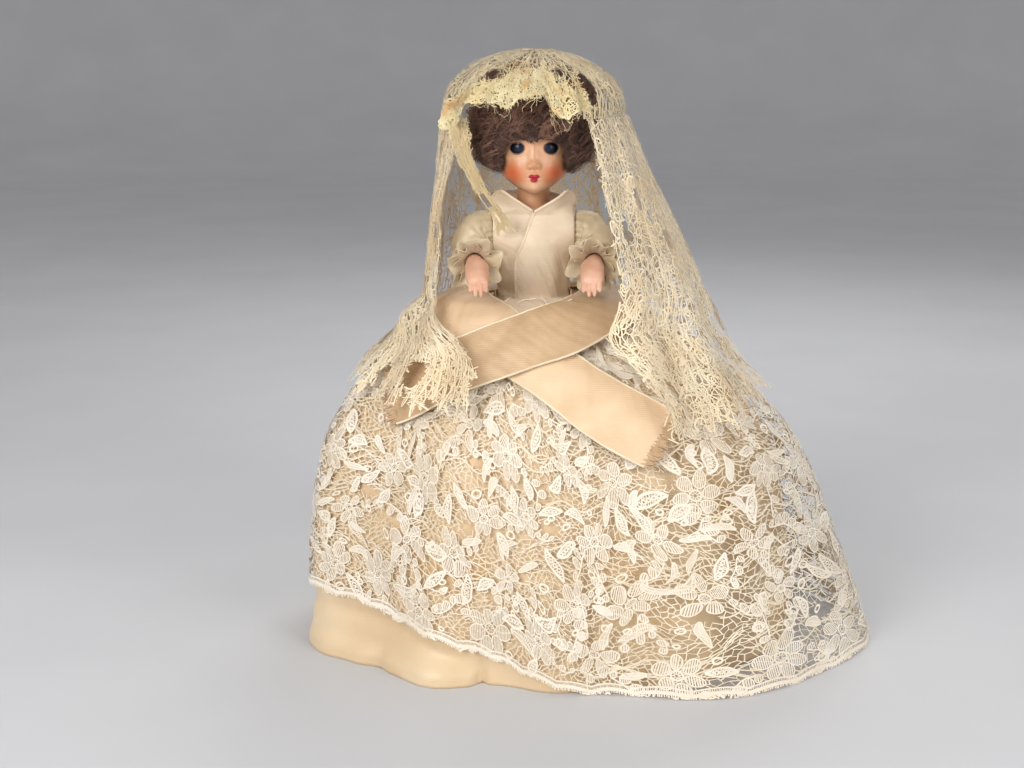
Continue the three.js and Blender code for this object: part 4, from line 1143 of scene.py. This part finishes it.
torso_half = through([(-0.02, 0.86), (0.08, 1.06), (0.22, 1.02), (0.37, 0.89), (0.48, 0.865), (0.63, 0.95),
                      (0.78, 1), (0.89, 0.975), (0.963, 0.79), (1, 0.58)])
torso_front = through([(-0.02, 0.78), (0.08, 0.98), (0.22, 0.92), (0.37, 0.87), (0.48, 0.9), (0.63, 1),
                       (0.78, 1), (0.89, 0.87), (0.963, 0.72), (1, 0.56)])
torso_back = through([(-0.02, 0.9), (0.08, 1.09), (0.22, 0.98), (0.37, 0.87), (0.48, 0.815), (0.78, 0.815),
                      (0.89, 0.8), (1, 0.78)])
BODICE_LOW = WAIST_Z + 0.8
BODICE_TAB = 12   # how far the fronts go on below the waist, under the sash
COLLAR_Z = NECK_Z + 5.5
COLLAR_TURN = NECK_Z - 2
left_edge = through([(BODICE_LOW, -118), (NECK_Z - 11, -116), (NECK_Z - 4, -104), (COLLAR_Z, -89)])
right_edge = through([(BODICE_LOW, -80), (NECK_Z - 4, -84), (COLLAR_Z, -91)])


def bodice_point(angle, z, lift):
    """A point on the bodice at an angle in degrees, drawn out to the armholes and open above the neck."""
    share = (np.minimum(z, COLLAR_TURN) - HIP_Z) / TORSO_HEIGHT
    turn = np.radians(angle)
    depth = CHEST_DEPTH * np.where(np.sin(turn) < 0, torso_front(share), torso_back(share))
    half = CHEST_HALF * torso_half(share) + 2.6 * ramp(z, NECK_Z - 8, NECK_Z - 2)
    above = np.maximum(0, z - COLLAR_TURN)
    out = 0.5 + lift
    x = (half + out) * np.cos(turn) * (1 + 0.018 * above)
    y = (depth + out) * np.sin(turn) * (1 + 0.06 * above)
    near = 1 - ramp(np.hypot(y - SHOULDER_Y, z - SHOULDER_Z), 6.2, 9.5)
    reach = np.maximum(np.abs(x), ARM_ROOT[0] + 0.5)
    x = np.where(np.abs(x) > 5, np.sign(x) * mix(np.abs(x), reach, near), x)
    return stack(x, y, z)


def waist_point(angle, down, lift):
    """A place round the waist: millimetres down the skirt, or up the bodice where down is below 0."""
    whole = cloth_length(angle * LACE_REACH)
    share = table_value(LACE_TABLE, angle, whole - np.maximum(down, 0))
    on_skirt = lace_point(angle, share, lift)
    on_bodice = bodice_point(np.degrees(angle), WAIST_Z - down, lift)
    return mix(on_bodice, on_skirt, ramp(down, -3, 3)[:, None])


def collar_top(angle):
    """Height of the neckline: a point in front, high beside the neck, lower at the shoulders and back."""
    off = np.abs(angle + 90)
    return COLLAR_Z - 6.5 * np.maximum(0, 1 - off / 42) - 4 * ramp(off, 44, 85) + 2 * ramp(angle, 20, 90)


def bodice_panel(start, end, layer, seed):
    """A surface between two edges that change with height, with a tab below the waist in front."""
    def surface(u, v):
        height = mix(BODICE_LOW, COLLAR_Z, v)
        angle = mix(start(height), end(height), u)
        tab = BODICE_TAB * (1 - ramp(np.abs(angle + 92), 62, 90))
        z = mix(BODICE_LOW - tab, collar_top(angle), v)
        creases = 0.16 * ripple(angle * 0.16 + z * 0.35, seed) * ramp(1 - v, 0.05, 0.3)
        over_lace = 1.1 * ramp(WAIST_Z - z, -2, 3)
        return waist_point(np.radians(angle), WAIST_Z - z, CLOTH / 2 + layer(angle) + creases + over_lace)

    return surface


def off_armhole(centre):
    """True outside the armholes, which have more room behind the arm."""
    away = np.hypot(centre[:, 1] - SHOULDER_Y, centre[:, 2] - SHOULDER_Z)
    room = np.where(centre[:, 1] > SHOULDER_Y, 7.4, 6.1)
    return (away > room) | (np.abs(centre[:, 0]) < 6)


def make_bodice():
    def under(angle):
        return 0 * angle

    def over(angle):
        return 1.2 * ramp(-angle, 38, 66)

    # Edges in degrees, lift of the layer, whether the front edge has a hem, and flat size
    panels = {
        "bodice_back": (fixed(1), fixed(179), under, False, (38, 42)),
        "bodice_left_front": (fixed(-1), left_edge, over, True, (32, 46)),
        "bodice_right_front": (fixed(-179), right_edge, under, True, (30, 46)),
    }
    for seed, (node, (start, end, layer, hemmed, flat)) in enumerate(panels.items()):
        surface = bodice_panel(start, end, layer, 60 + seed)
        panel = mesh_object(f"{node}_cloth", kept(grid_shape(surface, 110, 90), off_armhole), BODICE, 0.4)
        dress(panel, "torso", "satin", node)
        rim = [surface(np.linspace(0, 1, 60), np.ones(60))]
        if hemmed:
            rim.append(surface(np.ones(60), np.linspace(0.02, 1, 60)))
        edge = mesh_object(f"{node}_edge", tube_shape(np.stack(rim), 0.5), BODICE)
        dress(edge, "torso", "satin")
        cloth(flat)


# Sash: a band behind and two ribbons that cross in front, their ends lying on the lace

RIBBON_SHOWN = 1.2 * RIBBON_WIDTH   # the ribbon lies a little wider than its solid


def ribbon_surface(route, lift_at, seed):
    """A ribbon along a route of places, each an angle in degrees and millimetres down from the waist."""
    steps = np.linspace(0, 1, len(route))
    turn = through([(t, angle) for t, (angle, _) in zip(steps, route)])
    drop = through([(t, down) for t, (_, down) in zip(steps, route)])

    def surface(u, v):
        angle, down = np.radians(turn(u)), drop(u)
        reach = np.linalg.norm(waist_point(angle, down, 0)[:, :2], axis=1)
        back, ahead = u - 0.02, u + 0.02
        along = unit(np.stack([reach * np.radians(turn(ahead) - turn(back)), drop(ahead) - drop(back)], 1))
        off = (v - 0.5) * RIBBON_SHOWN
        arch = np.sin(np.pi * v)
        dimples = 0.36 * ripple(u * 19 + v * 4, seed) * arch + 0.15 * ripple(u * 50 - v * 6, seed + 1)
        lift = lift_at(u) + CLOTH / 2 + dimples + 0.5 * arch ** 2
        return waist_point(angle - along[:, 1] * off / reach, down + along[:, 0] * off, lift)

    return surface


def curl_path(rng, start, length):
    """A loose thread lying about a place, as a walk whose heading wanders."""
    heading = rng.uniform(0, PHASES) + np.cumsum(rng.normal(0, 0.45, 30))
    steps = stack(np.cos(heading), 0.5 * np.sin(heading), 0.35 * np.sin(0.7 * heading + 1)) * length / 30
    return np.array(start) + np.cumsum(steps, 0)


def frayed(rng, surface, count):
    """Loose threads at the cut end of a ribbon."""
    places = rng.uniform(0.02, 0.98, count)
    tip = surface(np.ones(count), places)
    along = unit(tip - surface(np.full(count, 0.97), places)) + rng.normal(0, 0.12, (count, 3))
    reach = np.linspace(-0.4, 1, 5)[None, :, None] * rng.uniform(1.4, 3.4, (count, 1, 1))
    return tube_shape(tip[:, None] + along[:, None] * reach, 0.24, 5)


def make_sash():
    def band(u, v):
        angle = np.radians(mix(-15, 195, u))
        pleats = np.cos(44 * angle + 3 * np.sin(4 * angle))
        crush = 0.3 * ripple(v * 9 + 2 * np.sin(3 * angle), 71) + 0.25 * pleats
        return waist_point(angle, mix(-3, 13, v), 1.5 + 0.5 * crush)

    wrap = mesh_object("sash_wrap_cloth", grid_shape(band, 200, 30), RIBBON, 0.35)
    dress(wrap, "torso", "ribbon", "sash_wrap")
    rng = np.random.default_rng(77)
    loops = np.stack([curl_path(rng, (-9 + 3.5 * k, -19 - 0.5 * k, WAIST_Z + 2.2), 9) for k in range(6)])
    threads = mesh_object("waist_threads", tube_shape(loops, 0.17, 6), LACE)
    dress(threads, "torso", "lace")
    cloth((95, 16))

    def under(u):
        return 2.9 - 0.9 * ramp(u, 0.45, 0.65) + 1.2 * ramp(u, 0.75, 1)

    def over(u):
        return 2.4 + 1.6 * ramp(u, 0, 0.2) * (1 - ramp(u, 0.86, 1))

    # Routes from the back to the cut end, in degrees and millimetres below the waist
    front_route = [(-235, 8), (-200, 9), (-165, 10.5), (-130, 14), (-104, 20.5), (-82, 30), (-65, 44),
                   (-51, 59)]
    right_route = [(55, 9), (20, 10), (-15, 11.5), (-50, 14.5), (-75, 17.8), (-98, 21.5), (-124, 30),
                   (-150, 47)]
    # Route, lift off the lace, finish and length of each ribbon
    tails = {
        "sash_front_tail": (front_route, under, RIBBON, 120),
        # the right tail takes the darker satin, with real stains and painted shade
        "sash_right_tail": (right_route, over, RIBBON_STAINED_SHADED, 125),
    }
    rng = np.random.default_rng(9)
    for seed, (node, (route, lift_at, material, length)) in enumerate(tails.items()):
        surface = ribbon_surface(route, lift_at, 81 + 3 * seed)
        tail = mesh_object(f"{node}_cloth", grid_shape(surface, 240, 36), material, 0.35)
        dress(tail, "torso", "ribbon", node)
        t = np.linspace(0, 1, 140)
        edges = np.stack([surface(t, np.full(140, 0.015)), surface(t, np.full(140, 0.985))])
        trim = mesh_object(f"{node}_edges", tube_shape(edges, 0.38), SELVEDGE)
        dress(trim, "torso", "ribbon")
        # the fringes take the darker satin, with real stains and painted shade
        fringe = mesh_object(f"{node}_fringe", frayed(rng, surface, 150), RIBBON_STAINED_SHADED)
        dress(fringe, "torso", "ribbon")
        cloth((RIBBON_SHOWN, length))


# Veil: net and loose fibres on the dome over the hair and on three falls

def dome_radius(z):
    """Radius of the crown at a height."""
    rise = (z - VEIL_RIM_Z) / (VEIL_TOP_Z - VEIL_RIM_Z)
    return VEIL_R * np.sqrt(np.maximum(0, 1 - np.clip(rise, 0, 1) ** 2.3))


DOME_Z = VEIL_TOP_Z - (VEIL_TOP_Z - VEIL_RIM_Z) * np.linspace(1, 0, 400) ** 2
DOME_ARC = np.concatenate([[0], np.cumsum(np.hypot(np.diff(DOME_Z), np.diff(dome_radius(DOME_Z))))])


def crown_surface(x, y, lift):
    """Millimetres round the rim and up the dome, to a place on the crown of the veil."""
    z = np.interp(y, DOME_ARC, DOME_Z)
    angle = x / VEIL_R
    crumple = 0.7 * ripple(angle * 8 + y * 0.2, 91) * ramp(y, 0, 8) - 0.7
    r = dome_radius(z) + crumple * 0.5 + lift
    return polar(r, angle, z + 0.6 * crumple + lift * ramp(y, 8, 30), NECK_Y)


def lace_radii(lift):
    """Radius of the lace skirt for steps of angle at each millimetre of height, 0 above the waist."""
    angle, z = np.meshgrid(ANGLE_STEPS, np.arange(0.0, 180.0), indexing="ij")
    low, high = np.zeros_like(z), np.ones_like(z)
    for _ in range(18):
        share = (low + high) / 2
        below = lace_point(angle, share, lift)[..., 2] < z
        low, high = np.where(below, share, low), np.where(below, high, share)
    rest = lace_point(angle, (low + high) / 2, lift)
    return np.where(z > WAIST_Z + 1, 0, np.hypot(rest[..., 0], rest[..., 1]))


VEIL_OVER = 5.5       # how far it stands off the lace where it lies on the sash
VEIL_STILL_Z = 150    # a height low on the veil, only passed to place()
VEIL_TURN_Z = 172     # a height high on the veil, only passed to place()
REST_LOW = lace_radii(CLOTH + LAYER_GAP)
REST_HIGH = lace_radii(CLOTH + LAYER_GAP + VEIL_OVER)


def fall_point(angle, z, lift, over=0.0):
    """A point on a veil fall, hung from the rim and laid on the skirt."""
    down = (VEIL_RIM_Z - z) / (0.94 * VEIL_LENGTH)
    hang = VEIL_R - CLOTH + VEIL_SPREAD * (1 + 0.67 * np.cos(angle)) * down
    pleat = 1.6 * down * (1 + np.cos(13 * angle)) * np.minimum(1, 3 * down)
    rest = mix(table_value(REST_LOW, angle, z), table_value(REST_HIGH, angle, z), over)
    laid = 0.5 * (hang + rest + 0.6 + np.hypot(hang - rest - 0.6, 5))
    r = np.where(rest > 5, laid, hang) + pleat + CLOTH / 2 + lift
    return polar(r, angle, z, NECK_Y * np.maximum(0, 1 - 1.6 * down))


def fall_surface(width, start, end, over):
    """Millimetres across a fall and down from the rim, to a place on the veil."""
    def surface(x, y, lift):
        share = x / width
        v = y / VEIL_LENGTH
        angle = np.radians(mix(start(v), end(v), share))
        billow = 0.5 * ripple(share * 19 + v * 7, 95)
        return fall_point(angle, VEIL_RIM_Z - CLEARANCE - y, lift + billow, over(share, v))

    return surface


def curls(rng, low, high, count, length, turn):
    """Curly flat fibres, each a walk whose heading wanders."""
    start = rng.uniform(low, high, (count, 1, 2))
    heading = rng.uniform(0, 2 * np.pi, (count, 1)) + np.cumsum(rng.normal(0, turn, (count, 14)), 1)
    step = length * rng.uniform(0.4, 1.3, (count, 1, 1)) / 14
    return start + np.cumsum(np.stack([np.cos(heading), np.sin(heading)], -1) * step, 1)


def runs(rng, width, depth, count, sway):
    """Long threads that run down the veil and wander to either side."""
    y = np.linspace(0, depth, 40)
    x = rng.uniform(0, width, (count, 1))
    phase = rng.uniform(0, PHASES, (count, 1))
    bends = sway * (np.sin(y / rng.uniform(5, 14, (count, 1)) + phase) + 0.4 * np.sin(y / 2.3 + 2 * phase))
    return np.stack([x + bends, np.broadcast_to(y, (count, 40))], -1)


def rings(rng, low, high, count, small, large):
    """Closed loops of the net, taller than wide."""
    t = np.linspace(0, 2 * np.pi, 15)
    size = rng.uniform(small, large, (count, 1))
    lean = rng.uniform(-0.4, 0.4, (count, 1))
    x = size * np.cos(t) * rng.uniform(0.6, 0.9, (count, 1))
    y = size * np.sin(t) * rng.uniform(0.9, 1.4, (count, 1))
    return rng.uniform(low, high, (count, 1, 2)) + np.stack([x + lean * y, y], -1)


def cobweb(rng, width, depth, cell, strands, loops, fibres):
    """Veil lacework: a pulled coarse net, clumps of finer net, loops, long threads and loose curls."""
    pattern = Pattern()
    for size, tall, shift, wide in ((cell, 1.6, 2.6, 0.36), (cell * 0.5, 1.1, 1.8, 0.24)):
        starts, ends = hex_net(width, depth, size, tall, rng, 0.24)
        if size < cell:
            spots = rng.uniform([0, 0], [width, depth], (math.ceil(width * depth / 260), 2))
            near = np.linalg.norm(starts[:, None] - spots, axis=2).min(1) < 5.2
            starts, ends = starts[near], ends[near]
        starts, ends = wander(starts, shift, 7), wander(ends, shift, 7)
        widths = rng.uniform(0.6, 1.2, len(starts)) * wide
        pattern.segments(starts, ends, widths, rng.uniform(-0.2, 0.2, len(starts)))
    drawn = runs(rng, width, depth, strands, 1.1)
    pattern.fibres(drawn, rng.uniform(0.14, 0.36, strands), rng.uniform(-0.3, 0.5, strands))
    hoops = rings(rng, [0, 0], [width, depth], loops, 0.9, 2.3)
    pattern.fibres(hoops, rng.uniform(0.25, 0.5, loops), rng.uniform(0, 0.4, loops))
    loose = curls(rng, [0, 0], [width, depth], fibres, 12, 0.45)
    pattern.fibres(loose, rng.uniform(0.09, 0.2, fibres), rng.uniform(-0.2, 0.7, fibres))
    return pattern


def hang_from_head(net):
    """Bake a net of the veil's placing into its points."""
    place((0, 0, VEIL_STILL_Z))
    place((0, 0, VEIL_TURN_Z))
    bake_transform(net)


def make_falls():
    def left_start(v):
        """The edge swings forward beside the left hand and back again below it."""
        return -57 - 8 * bump(v, 0.64, 0.08) + 4 * ramp(v, 0.74, 0.88)

    def right_end(v):
        """The edge is drawn in behind the right arm and spreads over the sash below."""
        return 208 + 12 * (1 - ramp(v, 0.02, 0.3)) + 40 * ramp(v, 0.54, 0.74)

    def on_skirt(s, v):
        return 0 * s

    def over_sash(s, v):
        return ramp(s, 0.35, 0.7) * ramp(v, 0.45, 0.68)

    # Width, start and end in degrees, lift over the sash, hem as a share of the length on either side;
    # counts of long threads, loops and loose fibres; flat size
    falls = {
        "veil_left_fall": (74, left_start, fixed(29.6), on_skirt, (1, 0.88), (60, 330, 1700), (76, 97)),
        "veil_back_fall": (94, fixed(30.4), fixed(149.6), on_skirt, (0.86, 0.86), (70, 300, 1600), (96, 84)),
        "veil_right_fall": (52, fixed(150.4), right_end, over_sash, (0.86, 0.92), (150, 110, 1700), (66, 90)),
    }
    for seed, (node, (width, start, end, over, hem, threads, flat)) in enumerate(falls.items()):
        rng = np.random.default_rng(100 + seed)
        pattern = cobweb(rng, width, VEIL_LENGTH, 3.0, *threads)
        whole = torn(rng, 16, [4, 8], [width - 4, 80], [1.2, 2.4], [2.6, 5.4])

        def inside(x, y):
            tatters = 3.5 * ripple(x * 0.9, 300 + seed) + 2 * ripple(x * 3.1, 310 + seed)
            ragged = VEIL_LENGTH * mix(*hem, x / width) - 5 + tatters
            side = 0.8 * ripple(y * 0.7, 320 + seed)
            return (x > side) & (x < width + side) & (y > 0) & (y < ragged) & whole(x, y)

        shape = pattern.shape(fall_surface(width, start, end, over), inside)
        fall = mesh_object(f"{node}_net", shape, VEIL_PALE)
        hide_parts(node)
        hang_from_head(fall)
        cloth(flat)


STRIP_WIDTH, STRIP_LENGTH = 7, 42
STRIP_ROUTE = [(-23.5, -16, 170), (-21.5, -17, 160), (-17.5, -16.8, 151), (-13.2, -16, 144),
               (-9.8, -13.8, 138.5), (-8.4, -12.4, 134)]
strip_track = [through([(i / 5, place_on[k]) for i, place_on in enumerate(STRIP_ROUTE)]) for k in range(3)]


def strip_surface(x, y, lift):
    """Millimetres across and down the torn strip, to a place beside the face."""
    t = y / STRIP_LENGTH
    spread = (x - STRIP_WIDTH / 2) * (1 - 0.5 * np.sin(np.pi * t))
    centre = np.stack([track(t) for track in strip_track], -1)
    return centre + stack(spread, -0.4 * np.abs(spread) - lift, 0.25 * spread)


def make_strip():
    """The strip is part of the right fall, which tears away from it at the rim."""
    rng = np.random.default_rng(170)
    pattern = cobweb(rng, STRIP_WIDTH, STRIP_LENGTH, 2.6, 26, 12, 170)
    whole = torn(rng, 5, [1, 6], [STRIP_WIDTH - 1, STRIP_LENGTH], [0.6, 1.5], [1.4, 3.5])

    def inside(x, y):
        side = 0.7 * ripple(y * 0.6, 171)
        ragged = STRIP_LENGTH - 3 + 2.5 * ripple(x * 2, 172)
        return (x > side) & (x < STRIP_WIDTH + side) & (y > 0) & (y < ragged) & whole(x, y)

    strip = mesh_object("veil_torn_strip", pattern.shape(strip_surface, inside), VEIL)
    hang_from_head(strip)
    cloth((10, 46))


# Lower and upper edge of the ruffle over the brow: sideways place and height
brow_line = through([(-25, 167), (-21.7, 168.4), (-18.3, 175.2), (-11.9, 175.4), (-8.1, 173.8), (-4.4, 176.8),
                     (2, 178.4), (5.1, 173.4), (8.4, 170.8), (12, 173.4), (16, 172)])
ruffle_line = through([(-25, 175), (-18, 181), (-11.5, 181.8), (-7, 184.6), (0, 186), (5, 184.4), (9, 180.4),
                       (16, 179.5)])
RUFFLE_LONG, RUFFLE_TALL = 60, 10


def ruffle_surface(x, y, lift):
    """Millimetres along and up the ruffle, to a place in front of the crown."""
    u, v = x / RUFFLE_LONG, y / RUFFLE_TALL
    angle = np.radians(mix(211, 302, u))
    side = VEIL_R * np.cos(angle)
    z = mix(brow_line(side) + 0.5 * ripple(u * 60, 151), ruffle_line(side) + 0.8 * ripple(u * 45, 152), v)
    waves = np.cos(22 * u + 2 * np.sin(7 * u)) + 0.6 * np.cos(47 * u + 1)
    stand = 1.0 + (2.3 - 1.3 * v) * (1 + waves) * 0.75 + 0.7 * ripple(u * 34 + v * 7, 155)
    return polar(dome_radius(np.maximum(z, VEIL_RIM_Z)) + stand + lift, angle, z, NECK_Y)


def ruffle_shape():
    """Close stitched lace with a scalloped edge and frayed ends."""
    rng = np.random.default_rng(150)
    pattern = Pattern()
    starts, ends = hex_net(RUFFLE_LONG, RUFFLE_TALL, 1.15, 1.0, rng, 0.2)
    pattern.segments(wander(starts, 0.8, 160), wander(ends, 0.8, 160), rng.uniform(0.22, 0.5, len(starts)))
    for row, size in ((1.2, 1.15), (3.4, 1.3), (6.0, 1.4), (8.3, 1.2)):
        for x in np.arange(1, RUFFLE_LONG - 1, 3.1):
            centre = np.array([x, row]) + rng.uniform(-0.6, 0.6, 2)
            striped_oval(pattern, centre, size, size * 0.7, rng.uniform(0, 3))
    edge = np.arange(0, RUFFLE_LONG, 0.3)
    pattern.thread(np.stack([edge, 0.2 + 0.5 * np.abs(np.sin(edge * 1.1))], 1), 0.7, 0.2)
    count = 420
    loose = curls(rng, [0, -0.5], [RUFFLE_LONG, RUFFLE_TALL + 2], count, 7, 0.5)
    pattern.fibres(loose, rng.uniform(0.08, 0.2, count), rng.uniform(0, 0.9, count))
    whole = torn(rng, 16, [2, 4], [RUFFLE_LONG - 2, RUFFLE_TALL + 1], [0.4, 0.3], [0.9, 0.7])
    return pattern.shape(ruffle_surface, lambda x, y: whole(x, y) & (x > 0) & (x < RUFFLE_LONG))


def make_crown():
    around = 2 * math.pi * VEIL_R
    rng = np.random.default_rng(140)
    pattern = cobweb(rng, around, DOME_ARC[-1], 3.2, 170, 260, 1300)
    # Degrees round the head, distance up from the rim, half width and half height of each hole
    holes = [(-122, 15, 5, 2.6), (-52, 10, 2.8, 6), (-72, 16, 2.5, 2)]
    for degrees, up, wide, tall in holes:
        centre = np.array([math.radians(degrees) * VEIL_R, up])
        for grow in (0.3, 1.3):
            pattern.thread(oval(centre, wide + grow, tall + 0.7 * grow, 0.12 * grow, 30), 0.24, 0.2, True)

    def inside(x, y):
        z = np.interp(y, DOME_ARC, DOME_Z)
        front = NECK_Y + dome_radius(z) * np.sin(x / VEIL_R)
        side = dome_radius(z) * np.cos(x / VEIL_R)
        over_face = (front < -0.42 * VEIL_R) & (z < BROW_Z) & (side > -24) & (side < 14)
        keep = (y > 0) & (y < DOME_ARC[-1] - 0.4) & ~over_face
        for degrees, up, wide, tall in holes:
            off = np.mod(x - math.radians(degrees) * VEIL_R + around / 2, around) - around / 2
            keep &= (off / wide) ** 2 + ((y - up) / tall) ** 2 > 1 + 0.6 * ripple(x * 1.3 + y * 2.1, 141)
        return keep

    crown = mesh_object("veil_crown_net", pattern.shape(crown_surface, inside), VEIL)
    dress(crown, "head", "veil_lace", "veil_crown")
    edging = mesh_object("veil_edging_lace", ruffle_shape(), EDGING)
    dress(edging, "head", "veil_lace", "veil_edging")
    cloth((85, 75))
    cloth((120, 10))


# Legs, shoes and the pieces that keep the solid's own shape

leg_radius = through([(0.06, 2.9), (0.16, 2.9), (0.32, 4.6), (0.5, 4.2), (0.54, 4.4), (0.78, 5.4),
                      (0.97, 5.5)])


def egg(centre, radii):
    """An egg as a surface, from its lowest point to its highest."""
    def surface(u, v):
        turn, ring = 2 * np.pi * u, np.sin(np.pi * v)
        way = stack(ring * np.cos(turn), ring * np.sin(turn), -np.cos(np.pi * v))
        return np.asarray(centre) + np.asarray(radii) * way

    return surface


def make_legs():
    for name, side in SIDES:
        x = side * HIP_X

        def shin(u, v):
            share = mix(0.06, 0.97, v)
            closing = dome(v / 0.02) * dome((1 - v) / 0.02)
            return polar(leg_radius(share) * closing, 2 * np.pi * u, share * LEG_LENGTH, NECK_Y) + [x, 0, 0]

        ankle = (x, NECK_Y - 5.5, 1.3 + FOOT_R)
        hip = grid_shape(egg((x, NECK_Y, HIP_Z), (HIP_R,) * 3), 32, 20, True)
        foot = grid_shape(egg(ankle, (FOOT_R, FOOT_R * 1.9, FOOT_R)), 32, 20, True)
        limb = merged(grid_shape(shin, 32, 60, True), hip, foot)
        leg = mesh_object(f"{name}_leg_skin", limb, FLESH, voxel=0.45, soften=2)
        dress(leg, f"{name}_leg", "flesh", f"{name}_leg")

        def upper(u, v):
            points = egg(ankle, (FOOT_R + 1.1, FOOT_R * 2 + 2.2, FOOT_R + 1.1))(u, mix(0.12, 0.6, v))
            points[:, 2] = np.maximum(points[:, 2], 0.6)
            return points

        def sole(u, v):
            turn = 2 * np.pi * u
            half, long = (FOOT_R + 0.5) * v, (FOOT_R * 2 + 0.6) * v
            return stack(x + half * np.cos(turn), ankle[1] + long * np.sin(turn), 0.35)

        whole = merged(grid_shape(upper, 64, 24, True), grid_shape(sole, 48, 6, True))
        shoe = mesh_object(f"{name}_shoe_cloth", whole, COTTON, 0.6)
        dress(shoe, f"{name}_leg", "shoe", f"{name}_shoe")


def finish_solids():
    """Materials for the solids that are shown as they are."""
    finishes = {"torso_shell": FLESH, "eye_weight": LEAD, "arm_elastic": ELASTIC, "leg_elastic": ELASTIC}
    wires = ["eye_rocker", "neck_hook", "left_arm_hook", "right_arm_hook", "left_leg_hook", "right_leg_hook"]
    for node, material in [*finishes.items(), *((wire, WIRE) for wire in wires)]:
        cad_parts[node].data.materials.clear()
        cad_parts[node].data.materials.append(material)


# Stage: pale bowl of a floor, soft light, camera

SENSOR = 36
FOCAL_PIXELS, PICTURE_WIDTH = 1600, 1024
CAMERA_AWAY = 520
CAMERA_TILT = math.radians(13)


def stage():
    paint, shader, coords = node_material("pale_floor", 0.7, specular=0.2)
    tones = [(0.3, (0.58, 0.58, 0.59)), (0.7, (0.61, 0.61, 0.62))]
    shade = blend_colours(paint, noise(paint, coords, 90, 2), tones)
    link(paint, shade, shader.inputs["Base Color"])
    bowl = through([(0, 0), (0.6, 0), (0.72, 60), (0.85, 500), (1, 2600)])

    def floor(u, v):
        return polar(np.interp(v, [0, 0.6, 0.85, 1], [0, 1500, 2300, 2400]), 2 * np.pi * u, bowl(v))

    mesh_object("floor", grid_shape(floor, 96, 80, True), paint)
    world = bpy.data.worlds.new("studio")
    bpy.context.scene.world = world
    world.use_nodes = True
    sky = world.node_tree.nodes["Background"]
    sky.inputs["Color"].default_value = (0.80, 0.80, 0.81, 1)
    sky.inputs["Strength"].default_value = 0.78

    def aimed(name, data, start, aim):
        made = bpy.data.objects.new(name, data)
        made.location = place(start)
        made.rotation_euler = Vector(place(aim) - place(start)).to_track_quat("-Z", "Y").to_euler()
        bpy.context.collection.objects.link(made)
        return made

    # Place, power in watts and size of each lamp
    lamps = {
        "key": ((-420, -640, 420), 5.2, 420),
        "fill": ((560, -560, 300), 3.0, 420),
        "rim": ((150, 520, 560), 1.6, 350),
    }
    for name, (start, power, size) in lamps.items():
        data = bpy.data.lights.new(name, "AREA")
        data.energy = power
        data.size = size * MM
        aimed(name, data, start, (0, 0, 85))

    camera = bpy.data.cameras.new("camera")
    camera.sensor_width = SENSOR
    camera.lens = SENSOR * FOCAL_PIXELS / PICTURE_WIDTH
    aim = np.array([-6.8, 0, 84])
    start = aim + CAMERA_AWAY * np.array([0, -math.cos(CAMERA_TILT), math.sin(CAMERA_TILT)])
    bpy.context.scene.camera = aimed("camera", camera, start, aim)
    bpy.context.scene.view_settings.view_transform = "Standard"


stage()
make_skirts()
make_lace()
make_head()
make_wig()
make_arms()
make_bodice()
make_sash()
make_falls()
make_strip()
make_crown()
make_legs()
finish_solids()
